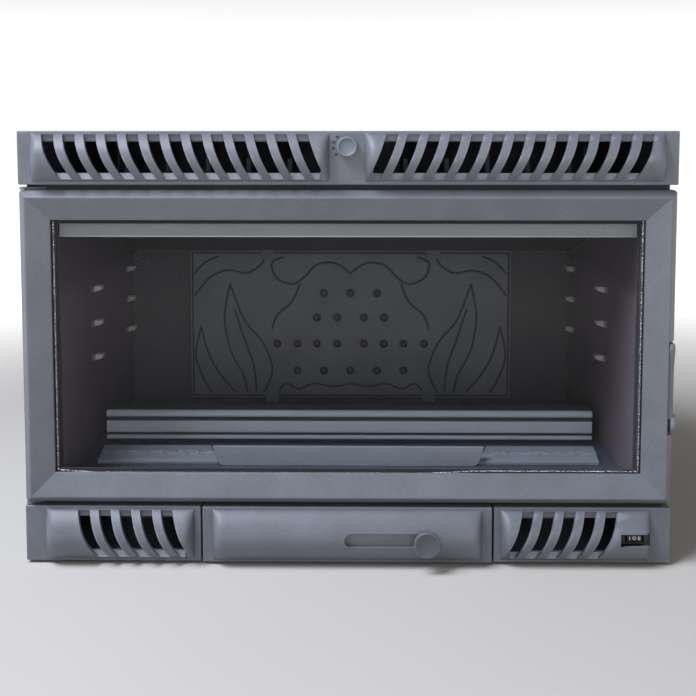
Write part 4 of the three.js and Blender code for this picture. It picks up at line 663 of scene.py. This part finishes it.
# The lever's notch goes right through the edge at the eye; beside the arm it keeps a floor.
PIVOT_Z, PIVOT_Y = 156, FACADE_Y + 5
NOTCH_X = door_high.x - 7.8
BEFORE, FLOOR_D, BEHIND = -12, 9, 25
carve(door, *bar(NOTCH_X, door_high.x + 5, BEFORE, BEHIND, PIVOT_Z - 11.8, PIVOT_Z + 24))
carve(door, *bar(NOTCH_X, door_high.x + 5, BEFORE, FLOOR_D, PIVOT_Z + 23, PIVOT_Z + 90))
PIN_HOLE_R, PIN_HOLE_L = 3.8, 25
pin_hole = [(0.01, 0), (PIN_HOLE_R, 0), (PIN_HOLE_R, PIN_HOLE_L), (0.01, PIN_HOLE_L)]
carve(door, *lathe(Vector((NOTCH_X - 9, PIVOT_Y, PIVOT_Z)) * MM, "x", pin_hole, 24))

# Nearly clear, with a trace of grey that darkens the firebox a little, and hard reflections.
glass = grained("ceramic_stove_glass", "#0E0F11", "#15171A", 180, Roughness=0.03, IOR=1.52, Alpha=0.09,
                Specular_IOR_Level=0.8)
dress(glass, 0, "door_glass")


def yarn(name, dark, pale, yarn_mm, fleck_share):
    """Plaited glass-fibre yarn: dark threads, with a share of them left pale."""
    material, tree, shader, place = finish(name, Roughness=0.9, Sheen_Weight=0.3)
    yarns = node(tree, "ShaderNodeTexVoronoi", {"Scale": 1000 / yarn_mm, "Randomness": 0.7},
                 {"Vector": place})
    fleck = node(tree, "ShaderNodeMapRange", {"From Min": fleck_share, "From Max": fleck_share + 0.14,
                                              "To Min": 1.0, "To Max": 0.0},
                 {"Value": yarns.outputs["Distance"]})
    tone = node(tree, "ShaderNodeMix", {"data_type": "RGBA", 6: linear(dark), 7: linear(pale)},
                {0: fleck.outputs["Result"]})
    tree.links.new(tone.outputs[2], shader.inputs["Base Color"])
    plait = node(tree, "ShaderNodeBump", {"Distance": 0.3 * MM}, {"Height": yarns.outputs["Distance"]})
    tree.links.new(plait.outputs["Normal"], shader.inputs["Normal"])
    return material


# Flat black braid, and along its inner edge a fine cord that shows as a chain of white flecks.
braid = yarn("black_glass_fibre_braid", "#141518", "#2C2D31", 1.7, 0.22)
cord_yarn = yarn("white_flecked_glass_fibre_cord", "#3A3B3F", "#D8DADD", 1.5, 0.34)
gasket_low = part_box("glass_gasket")[0] / MM


def cord(corners, y, radius, bead_mm):
    """A thin twisted cord led past corners given in x and z; its strands swell and thin."""
    path = []
    for (ax, az), (bx, bz) in zip(corners, corners[1:]):
        count = int(math.hypot(bx - ax, bz - az) / (bead_mm / 2))
        path += [(ax + (bx - ax) * k / count, az + (bz - az) * k / count) for k in range(count)]
    path.append(corners[-1])
    points, sides = [], 6
    for k, (x, z) in enumerate(path):
        (bx, bz), (nx, nz) = path[max(0, k - 1)], path[min(len(path) - 1, k + 1)]
        along = Vector((nx - bx, nz - bz)).normalized()
        r = radius * (0.82 + 0.3 * (k % 2) + 0.2 * noise.noise(Vector((x / 5, z / 5, 0.0))))
        for i in range(sides):
            turn = 2 * math.pi * i / sides
            points.append(Vector((x - along.y * r * math.cos(turn), y + r * math.sin(turn),
                                  z + along.x * r * math.cos(turn))) * MM)
    return points, capped(sides, len(path))


# Along the bottom left the cord sinks behind the lip, where the photograph shows none of it.
CORD_IN, CORD_SINK = 32.5 + 2.3, 2.6
CORD_R, BEAD = 0.8, 1.8
cord_x, cord_z0, cord_z1 = door_high.x - CORD_IN, door_low.z + CORD_IN - 0.6, door_high.z - CORD_IN + 1
build("gasket_cord", *cord([
    (-cord_x, cord_z1), (-cord_x, cord_z0), (-cord_x + 40, cord_z0 - CORD_SINK), (90, cord_z0 - CORD_SINK),
    (140, cord_z0), (cord_x, cord_z0), (cord_x, cord_z1),
], gasket_low.y - 0.3, CORD_R, BEAD), cord_yarn, "door", "braid", smooth=True)
dress(braid, 0.3, "glass_gasket")
dress(braid, 0.8, "door_rope_seal")

# Bright rolled steel for the bars, the hinge pins and the spindles: fine lines along the rolling.
rolled_steel = grained("rolled_bright_steel", "#9C9FA3", "#C3C5C8", 1.2, 2, (0.26, 0.46),
                       stretch=(0.15, 1, 1), Metallic=1.0)
dress(rolled_steel, 0.3, "glass_bar_top", "glass_bar_bottom", "glass_bar_left", "glass_bar_right")
bar_low, bar_high = (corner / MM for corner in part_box("glass_bar_top"))
sill_low, sill_high = (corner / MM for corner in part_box("glass_bar_bottom"))
bar_depth = bar_high.y - FACADE_Y
bar_heights = ((bar_low.z + bar_high.z) / 2, (sill_low.z + sill_high.z) / 2)
build("glass_bar_screws", *merged(*(
    lathe(at(x, bar_depth - 0.4, z), "y", [(3.4, 0), (3.4, 0.7), (2.2, 1.6), (0.01, 1.6)], 20)
    for x in (-280, -140, 0, 140, 280) for z in bar_heights
)), rolled_steel, "door", "bright_steel", smooth=True)

# ---- Hinges ---------------------------------------------------------------------------------
# A cast tongue above and below the door, each with a loose steel pin that drops into it.
dress(facade_paint, 0.4, "hinge_bracket_bottom", "hinge_bracket_top")
dress(rolled_steel, 0.3, "hinge_pin_bottom", "hinge_pin_top")

# ---- Door lever and latch -------------------------------------------------------------------
# The lever is cast with a round eye and a slim arm that leans out a little at its tip; it turns
# on an oil-blackened pin through the door's edge and swings a flat hook behind the keeper.
eye_x0, eye_x1 = lever_low.x + 3.3, lever_high.x
L = PIVOT_Y
ARM_W, ARM_EASE = 6.6, 9
tip = PIVOT_Z + 88.6
lever_side = rounded([
    (L + 6, PIVOT_Z + 7), (L + 2.5, PIVOT_Z + 30), (L + 1.5, tip - 18), (L - 0.5, tip - 6), (L - 4, tip),
    (L - 9.5, tip - 0.8), (L - 11, tip - 6), (L - 9, tip - 16), (L - 7, tip - 30), (L - 6.5, PIVOT_Z + 26),
    (L - 7.5, PIVOT_Z + 4),
], 4.0)


def lever_body():
    """The arm between rounded flanks, with the eye as a turned boss."""
    steps = [(0.0, 0.86), (0.12, 0.96), (0.3, 1.0), (0.7, 1.0), (0.88, 0.96), (1.0, 0.86)]
    centre = Vector((sum(p[0] for p in lever_side), sum(p[1] for p in lever_side))) / len(lever_side)
    points, count = [], len(lever_side)
    for share, swell in steps:
        x = lever_low.x + ARM_W * share
        for k in range(count):
            before, here, after = (Vector(lever_side[(k + d) % count]) for d in (-1, 0, 1))
            along = (after - before).normalized()
            inward = Vector((-along.y, along.x))
            if (centre - here).dot(inward) < 0:
                inward = -inward
            y, z = here + inward * (1 - swell) * ARM_EASE
            points.append(Vector((x, y, z)) * MM)
    return points, capped(count, len(steps))


eye = [(3.9, eye_x0), (9.3, eye_x0), (10.3, eye_x0 + 0.9), (10.3, eye_x1 - 1.4), (9.6, eye_x1 - 0.4),
       (8.4, eye_x1), (5.2, eye_x1), (4.4, eye_x1 - 0.7), (3.9, eye_x1 - 1.5), (3.9, eye_x0)]
build("lever_casting", *lever_body(), facade_paint, "door_lever", "painted_cast",
      stands_for=["handle_lever"])
build("lever_eye", *lathe(Vector((0, PIVOT_Y, PIVOT_Z)) * MM, "x", eye, 56), facade_paint, "door_lever",
      "painted_cast", smooth=True)
# The pin and the latch are blackened in oil: dark, with a low satin gleam.
oiled_steel = grained("oil_blackened_steel", "#2C2D2F", "#424447", 4, 3, (0.35, 0.5), Metallic=1.0)
dress(oiled_steel, 0.4, "handle_pin", "latch_hook", "latch_keeper")

# ---- Hot-air grilles ------------------------------------------------------------------------
# Shallow cast trays with long swelling pillows; leaning slots are cored through each pillow
# and a window behind it lets the air through, leaving a flat ledge along its edges.
FACE_T, RIM_T, WALL = 6, 4, 4
FRONT_Y = FACADE_Y
BULGE = 18
LEAN = 18.6 / 45
SLOT_W, PITCH = 13, 22.4
SLOT_MARGIN, SLOT_BOW = 0.9, 1.6
TOP_SLOTS, LOW_SLOTS = 13, 5
END = 10                         # length over which a pillow's end rises


def relief_plate(xs, zs, front, depth_of):
    """A cast plate on a grid of cells; depth_of gives each cell's back, or None for a hole."""
    points, faces = [], []

    def wall(ax, az, bx, bz, y0, y1):
        faces.append(tuple(range(len(points), len(points) + 4)))
        points.extend(Vector(p) * MM for p in ((ax, y0, az), (bx, y0, bz), (bx, y1, bz), (ax, y1, az)))

    backs = [[depth_of(i, j) for i in range(len(xs) - 1)] for j in range(len(zs) - 1)]

    def back(i, j):
        inside = 0 <= i < len(xs) - 1 and 0 <= j < len(zs) - 1
        return (backs[j][i] if inside else None) or front

    for j in range(len(zs) - 1):
        for i in range(len(xs) - 1):
            here = back(i, j)
            if here == front:
                continue
            x0, x1, z0, z1 = xs[i], xs[i + 1], zs[j], zs[j + 1]
            for y in (front, here):
                faces.append(tuple(range(len(points), len(points) + 4)))
                points.extend(Vector((x, y, z)) * MM for x, z in ((x0, z0), (x1, z0), (x1, z1), (x0, z1)))
            for di, dj, (ax, az, bx, bz) in ((-1, 0, (x0, z0, x0, z1)), (1, 0, (x1, z0, x1, z1)),
                                             (0, -1, (x0, z0, x1, z0)), (0, 1, (x0, z1, x1, z1))):
                if back(i + di, j + dj) < here:
                    wall(ax, az, bx, bz, max(front, back(i + di, j + dj)), here)
    return points, faces


def swell(t):
    """The pillow's rise over its height: steep flanks and a nearly level middle."""
    return math.sin(math.pi * t) ** 0.75 if 0 < t < 1 else 0.0


def rise_at(x, z, x0, x1, z0, z1, high):
    """How far a pillow of that outline stands out at a point."""
    reach = min(1.0, max(0.0, min(x - x0, x1 - x) / END))
    return high * math.sqrt(1 - (1 - reach) ** 2) * swell((z - z0) / (z1 - z0))


def pillow_shell(x0, x1, z0, z1, front, slot_tops=(), side=1, rows=24):
    """A pillow as a closed cast wall; its slots lean and curve over it from plate to plate."""
    edges = sorted(side * (top - w) for top in slot_tops for w in (0, SLOT_W))
    ease = [(k / 9) ** 2 for k in range(9)]
    heights = [z0 + (z1 - z0) * 0.5 * (1 - math.cos(math.pi * k / rows)) for k in range(rows + 1)]
    heights = sorted(heights + [z0 + SLOT_MARGIN, z1 - SLOT_MARGIN]) if edges else heights
    slot_top = z1 - SLOT_MARGIN
    outer, inner, opens = [], [], []
    for z in heights:
        lean = side * LEAN * (slot_top - z)
        bow = side * SLOT_BOW * math.sin(math.pi * (z - z0) / (z1 - z0))
        marks = [x - lean + bow for x in edges] or [x0 + 40, x1 - 40]
        row = [x0 + (marks[0] - x0) * f for f in ease]
        opens = [False] * len(ease)
        for k, x in enumerate(marks[:-1]):
            parts = 1 if edges and k % 2 == 0 else 4 if edges else 30
            row += [x + (marks[k + 1] - x) * p / parts for p in range(parts)]
            opens += [bool(edges) and k % 2 == 0] * parts
        row += [x1 - (x1 - marks[-1]) * f for f in ease[::-1]]
        row.insert(len(row) - len(ease), marks[-1])
        opens += [False] * len(ease)
        for x in row:
            out = rise_at(x, z, x0, x1, z0, z1, BULGE)
            hollow = rise_at(x, z, x0 + WALL, x1 - WALL, z0 + WALL, z1 - WALL, BULGE - WALL)
            outer.append(Vector((x, front - out, z)) * MM)
            inner.append(Vector((x, front - hollow + 0.8, z)) * MM)
    wide, count = len(opens) + 1, len(outer)
    faces = []

    def filled(i, j):
        if not (0 <= i < wide - 1 and 0 <= j < len(heights) - 1):
            return False
        return not (opens[i] and heights[j] >= z0 + SLOT_MARGIN and heights[j + 1] <= slot_top)

    for j in range(len(heights) - 1):
        for i in range(wide - 1):
            if not filled(i, j):
                continue
            ring = [j * wide + i, j * wide + i + 1, (j + 1) * wide + i + 1, (j + 1) * wide + i]
            faces += [tuple(ring), tuple(count + v for v in ring[::-1])]
            for (di, dj), (a, b) in zip(((0, -1), (1, 0), (0, 1), (-1, 0)),
                                        ((0, 1), (1, 2), (2, 3), (3, 0))):
                if not filled(i + di, j + dj):
                    faces.append((ring[b], ring[a], count + ring[a], count + ring[b]))
    return outer + inner, faces


def sill(x0, x1, z0):
    """The foot of the slots: a strip that slopes up to the window and so catches the light."""
    outline = [(FRONT_Y + 0.5, z0 + 0.9), (FRONT_Y - 1.2, z0 + 1.0), (FRONT_Y - 3.2, z0 + 2.6),
               (FRONT_Y - 0.1, z0 + 8.9), (FRONT_Y + 0.5, z0 + 8.9)]
    return moulding(outline, x0, x1)


top_low, top_high = (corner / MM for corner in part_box("top_grille"))
RIM_BACK = FACADE_Y + 17.7
VENT_IN, VENT_OUT = 19, top_high.x - 15
vent_z0, vent_z1 = top_low.z + 3.5, top_high.z - 2.5
slot_tops = [VENT_OUT - 12 - k * PITCH for k in range(TOP_SLOTS)]
LEDGE = 9
xs = [top_low.x, top_low.x + RIM_T, -VENT_OUT + LEDGE, -VENT_IN - LEDGE, VENT_IN + LEDGE, VENT_OUT - LEDGE,
      top_high.x - RIM_T, top_high.x]
zs = [top_low.z, top_low.z + RIM_T, vent_z0 + LEDGE, vent_z1 - LEDGE, top_high.z - RIM_T, top_high.z]


def rimmed(y, windows, last):
    """The back of a grille at y: rims at its edges, and a window behind each pillow."""
    def back_of(i, j):
        if i in (0, last) or j in (0, 4):
            return RIM_BACK
        return None if i in windows and j == 2 else y + FACE_T
    return back_of


top_plate = build("top_grille_plate", *relief_plate(xs, zs, FRONT_Y, rimmed(FRONT_Y, (2, 4), 6)), facade_paint,
                  "insert", "painted_cast", edge_mm=1.4, stands_for=["top_grille"])
knob_hole = [(0.01, -3), (BORE_R, -3), (BORE_R, 12), (0.01, 12)]
carve(top_plate, *lathe(at(0, 0, SPINDLE_Z), "y", knob_hole, 24))
for side, label in ((-1, "left"), (1, "right")):
    x0, x1 = (-VENT_OUT, -VENT_IN) if side < 0 else (VENT_IN, VENT_OUT)
    build("top_grille_louvres_" + label, *pillow_shell(
        x0, x1, vent_z0, vent_z1, FRONT_Y, slot_tops, side), facade_paint,
        "insert", "painted_cast", edge_mm=1.1, smooth=True)
    build("top_grille_sill_" + label, *sill(x0 + END, x1 - END, vent_z0), facade_paint, "insert",
          "painted_cast")

low_low, low_high = (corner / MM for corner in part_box("bottom_grille_right"))
low_z0, low_z1 = low_low.z + 3, low_high.z - 3
LOW_IN, LOW_OUT = low_low.x + 7, low_high.x - 23
low_tops = [LOW_OUT - 35 - k * PITCH for k in range(LOW_SLOTS)]
switch_low, switch_high = (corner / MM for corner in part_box("switch_body"))
ROOM = 0.3                           # clearance round the switch
for side, label in ((-1, "left"), (1, "right")):
    span = sorted((side * low_low.x, side * low_high.x))
    pillow_x = sorted((side * LOW_IN, side * LOW_OUT))
    xs = [span[0], span[0] + RIM_T, pillow_x[0] + LEDGE, pillow_x[1] - LEDGE, span[1] - RIM_T, span[1]]
    zs = [low_low.z, low_low.z + RIM_T, low_z0 + LEDGE, low_z1 - LEDGE, low_high.z - RIM_T, low_high.z]
    low_plate = build("bottom_grille_plate_" + label, *relief_plate(
        xs, zs, FRONT_Y, rimmed(FRONT_Y, (2,), 4)), facade_paint,
        "insert", "painted_cast", edge_mm=1.4, stands_for=["bottom_grille_" + label])
    shell = build("bottom_grille_louvres_" + label, *pillow_shell(
        pillow_x[0], pillow_x[1], low_z0, low_z1, FRONT_Y, low_tops, side), facade_paint,
        "insert", "painted_cast", edge_mm=1.1, smooth=True)
    build("bottom_grille_sill_" + label, *sill(*sorted((side * (LOW_IN + END), side * (LOW_OUT - 33))), low_z0),
          facade_paint, "insert", "painted_cast")
    if side > 0:
        room = bar(switch_low.x - ROOM, switch_high.x + ROOM, -30, 12,
                   switch_low.z - ROOM, switch_high.z + ROOM)
        carve(shell, *room)
        carve(low_plate, *room)

# ---- Ash drawer -----------------------------------------------------------------------------
# The drawer's front is cast like the grilles, a little proud of them, with a long round-ended
# slot for the air slider; the pan behind it is folded from zinc-coated sheet.
front_low, front_high = (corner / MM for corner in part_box("drawer_front"))
DRAWER_Y = FACADE_Y - 2
SLIDER_Z = 32.7
knob_low, knob_high = (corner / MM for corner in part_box("air_slider_knob"))
SLIDER_X = (knob_low.x + knob_high.x) / 2
SLOT_H, TRAVEL = 15.4, 80
xs = [front_low.x, front_low.x + RIM_T, -137, 137, front_high.x - RIM_T, front_high.x]
zs = [front_low.z, front_low.z + RIM_T, low_z0 + LEDGE, low_z1 - LEDGE, front_high.z - RIM_T, front_high.z]
build("drawer_plate", *relief_plate(xs, zs, DRAWER_Y, rimmed(DRAWER_Y, (2,), 4)), facade_paint, "ash_drawer",
      "painted_cast", edge_mm=1.4, stands_for=["drawer_front"])
swelling = build("drawer_pillow", *pillow_shell(-146, 146, low_z0, low_z1, DRAWER_Y, rows=26), facade_paint,
                 "ash_drawer", "painted_cast", edge_mm=1.1, smooth=True)
slot_ends = (SLIDER_X - TRAVEL, SLIDER_X)


def stadium(half_h, d0, d1):
    """A round-ended bar along the slider's slot, from one depth to another."""
    ring = [(x + half_h * math.cos(math.radians(a)), SLIDER_Z + half_h * math.sin(math.radians(a)))
            for x, start in ((slot_ends[1], -90), (slot_ends[0], 90)) for a in range(start, start + 181, 10)]
    return [at(x, d, z) for d in (d0, d1) for x, z in ring], capped(len(ring), 2)


carve(swelling, *stadium(SLOT_H / 2, -40, 2))

# Zinc's broad spangle: flat cool patches that differ a little in tone and in gloss.
zinc, tree, shader, place = finish("zinc_coated_steel_sheet", Metallic=1.0)
spangle = node(tree, "ShaderNodeTexVoronoi", {"Scale": 1000 / 9}, {"Vector": place})
zinc_tone = node(tree, "ShaderNodeMix", {"data_type": "RGBA", 6: linear("#989C9F"), 7: linear("#A8ACAF")},
                 {0: spangle.outputs["Color"]})
tree.links.new(zinc_tone.outputs[2], shader.inputs["Base Color"])
milky = node(tree, "ShaderNodeMapRange", {"To Min": 0.42, "To Max": 0.52}, {"Value": spangle.outputs["Color"]})
tree.links.new(milky.outputs["Result"], shader.inputs["Roughness"])
dress(zinc, 0.3, "ash_pan", "drawer_runner_left", "drawer_runner_right", "channel_back")

# ---- Air slider -----------------------------------------------------------------------------
# A cast disc on a steel stem that moves a painted shutter to and fro behind the slot.
# Charcoal, so that the knob stands out from the drawer; its rim is paler, partly rubbed and partly a painted
# highlight.
knob_paint = stove_paint("charcoal_stove_paint_on_slider_knob", "#484A51", "#53555D", 2.0, 0.05, 0.5, 22, 0.2,
                         "#8A8D94")
knob_t = knob_high.y - knob_low.y
knob_r = knob_high.z - SLIDER_Z
build("slider_knob", *lathe(Vector((SLIDER_X, knob_low.y, SLIDER_Z)) * MM, "y", [
    (0.01, 0.35), (knob_r - 2.6, 0.35), (knob_r - 1.9, 0.1), (knob_r - 1.2, 0.0), (knob_r - 0.5, 0.2),
    (knob_r - 0.1, 0.8), (knob_r, 1.8), (knob_r, knob_t - 1.0), (knob_r - 1, knob_t), (0.01, knob_t),
], 72), knob_paint, "air_slide", "painted_cast", smooth=True, stands_for=["air_slider_knob"])
dress(rolled_steel, 0.2, "air_slider_stem")
# The shutter takes the darker charcoal paint as painted shade in the slot before it.
dress(knob_paint, 0.3, "air_shutter")

# ---- Flue damper ----------------------------------------------------------------------------
# A small dished knob in the top grille turns a steel spindle that carries a half-round vane;
# four black dots on the casting mark its settings.
turner_low, turner_high = (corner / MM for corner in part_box("damper_knob"))
turn_t, turn_r = turner_high.y - turner_low.y, turner_high.x
build("damper_turning_knob", *lathe(Vector((0, turner_low.y, SPINDLE_Z)) * MM, "y", [
    (0.01, 2.0), (turn_r - 3.6, 2.0), (turn_r - 2.6, 1.2), (turn_r - 1.9, 0.15), (turn_r - 1.0, 0.0),
    (turn_r - 0.2, 0.6), (turn_r, 1.5), (turn_r, turn_t), (0.01, turn_t),
], 64), cast_paint, "flue_damper", "painted_cast", smooth=True, stands_for=["damper_knob"])
dress(rolled_steel, 0.3, "damper_spindle")
dress(heat_paint, 0.5, "damper_vane")
DOT_RING_R = 14.5
# Half-gloss black, so that the dots read as dark points from afar.
dot_paint = grained("black_enamel_dots", "#141418", "#26262B", 1.0, Roughness=0.45)
build("damper_dots", *merged(*(
    lathe(at(DOT_RING_R * math.cos(math.radians(a)), 0, SPINDLE_Z + DOT_RING_R * math.sin(math.radians(a))),
          "y", [(0.01, -0.25), (1.4, -0.25), (1.6, 0.1), (0.01, 0.1)], 20) for a in (135, 162, 187, 216)
)), dot_paint, "insert", "painted_cast")

# ---- Fans -----------------------------------------------------------------------------------
# Two blowers stand on the base tray: a rolled zinc-coated housing with a moulded impeller
# and a small motor each.
# Black nylon with a moulded pebble grain that breaks up its highlights.
plastic = grained("black_moulded_nylon", "#18181B", "#232326", 0.8, 2, (0.38, 0.55), 0.02, IOR=1.53)
for label in ("left", "right"):
    dress(zinc, 0.3, "fan_housing_" + label)
    dress(plastic, 0, "fan_impeller_" + label)
    dress(sheet_paint, 0.4, "fan_motor_" + label)

# ---- Switch and mains inlet -----------------------------------------------------------------
# A three-position rocker in the lower right grille, printed I O II in white; at the back a
# terminal box and a gland where the mains lead goes in.
dress(plastic, 0.5, "switch_body", "switch_key")
dress(plastic, 1.0, "terminal_box")
key_low, key_high = (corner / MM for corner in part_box("switch_key"))
key_x, key_z = (key_low.x + key_high.x) / 2, (key_low.z + key_high.z) / 2
# A chalky white ink, slightly uneven.
print_white = grained("white_pad_print", "#D2D2D0", "#EDEDEA", 1.5, Roughness=0.5)
STROKE_HALF_W, STROKE_HALF_H = 0.4, 1.9
strokes = []
for x in (-5.0, 4.4, 5.8):
    face = key_low.y + 1.2 * (1 - abs(x) / 8) - FACADE_Y
    strokes.append(bar(key_x + x - STROKE_HALF_W, key_x + x + STROKE_HALF_W, face - 0.15, face + 0.2,
                       key_z - STROKE_HALF_H, key_z + STROKE_HALF_H))
strokes.append(lathe(Vector((key_x, key_low.y + 1.1, key_z)) * MM, "y", [
    (1.2, 0), (1.2, -0.25), (1.95, -0.25), (1.95, 0), (1.2, 0)], 28))
build("switch_marks", *merged(*strokes), print_white, "fan_key", "black_plastic")
gland_low, gland_high = (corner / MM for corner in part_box("cable_gland"))
gland_x, gland_z = (gland_low.x + gland_high.x) / 2, (gland_low.z + gland_high.z) / 2
build("gland_nut", *merged(
    lathe(Vector((gland_x, gland_low.y, gland_z)) * MM, "y", [
        (3.5, 0), (8, 0), (8, 12.2), (3.5, 12.2), (3.5, 0)], 40),
    lathe(Vector((gland_x, gland_high.y, gland_z)) * MM, "y", [
        (3.5, -8.6), (11.4, -8.6), (12, -8.0), (12, -5.2), (11.4, -4.6), (3.5, -4.6)], 6),
    lathe(Vector((gland_x, gland_high.y, gland_z)) * MM, "y", [
        (3.5, -4.7), (9.2, -4.7), (8.6, -1.4), (7.2, 0), (4.4, 0), (3.5, -1.0), (3.5, -4.7)], 40),
), plastic, "insert", "black_plastic", stands_for=["cable_gland"])

# ---- Setting --------------------------------------------------------------------------------
# A pale matt floor, a broad lamp above the left shoulder, a weak one in front and a white
# horizon, as in a plain product studio.
FLOOR_HALF, FLOOR_Z = 20, -0.001     # metres
floor_finish, tree, shader, place = finish("pale_matt_floor_with_painted_glow", Roughness=0.8, Emission_Color=linear("#FFFFFF"))
dust = node(tree, "ShaderNodeTexNoise", {"Scale": 1000 / 400}, {"Vector": place})
floor_tone = node(tree, "ShaderNodeMix", {"data_type": "RGBA", 6: linear("#BDB9B2"), 7: linear("#C2BEB7")},
                  {0: dust.outputs["Fac"]})
tree.links.new(floor_tone.outputs[2], shader.inputs["Base Color"])
# The floor glows more and more towards its rim, a painted glow with no lamp below it, so that it ends in the
# white horizon.
away = node(tree, "ShaderNodeVectorMath", {"operation": "LENGTH"}, {0: place})
glow = node(tree, "ShaderNodeMapRange", {"interpolation_type": "SMOOTHSTEP", "From Min": 0.65, "From Max": 2.1,
                                         "To Max": 0.95}, {"Value": away.outputs["Value"]})
tree.links.new(glow.outputs["Result"], shader.inputs["Emission Strength"])
floor_mesh = bpy.data.meshes.new("studio_floor")
floor_corners = [(x * FLOOR_HALF, y * FLOOR_HALF, FLOOR_Z) for x, y in ((-1, -1), (1, -1), (1, 1), (-1, 1))]
floor_mesh.from_pydata(floor_corners, [], [(0, 1, 2, 3)])
floor_mesh.materials.append(floor_finish)
floor = bpy.data.objects.new("studio_floor", floor_mesh)
bpy.context.scene.collection.objects.link(floor)
floor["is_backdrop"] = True


def lamp(name, place, target, size, watts, colour):
    """A square soft box turned towards a point."""
    light = bpy.data.lights.new(name, "AREA")
    light.size = size
    light.energy = watts
    light.color = linear(colour)[:3]
    box = bpy.data.objects.new(name, light)
    box.location = place
    box.rotation_euler = (Vector(target) - Vector(place)).to_track_quat("-Z", "Y").to_euler()
    bpy.context.scene.collection.objects.link(box)


lamp("key", place=(-1.35, -1.1, 2.6), target=(0, -0.15, 0.25), size=1.4, watts=132, colour="#EAF0FF")
lamp("front", place=(0.2, -2.4, 1.0), target=(0, 0.1, 0.15), size=1.2, watts=10, colour="#FFFFFF")
world = bpy.data.worlds.new("studio")
bpy.context.scene.world = world
world.use_nodes = True
sky_tree = world.node_tree
ray = node(sky_tree, "ShaderNodeTexCoord")
split = node(sky_tree, "ShaderNodeSeparateXYZ", links={0: ray.outputs["Generated"]})
height = node(sky_tree, "ShaderNodeMapRange", {"From Min": 0.10, "From Max": 0.28, "To Min": 1.0,
                                               "To Max": 0.15}, {"Value": split.outputs["Z"]})
sky_tree.links.new(height.outputs["Result"], sky_tree.nodes["Background"].inputs["Strength"])
sky_tree.nodes["Background"].inputs["Color"].default_value = linear("#FFFFFF")

low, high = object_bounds()
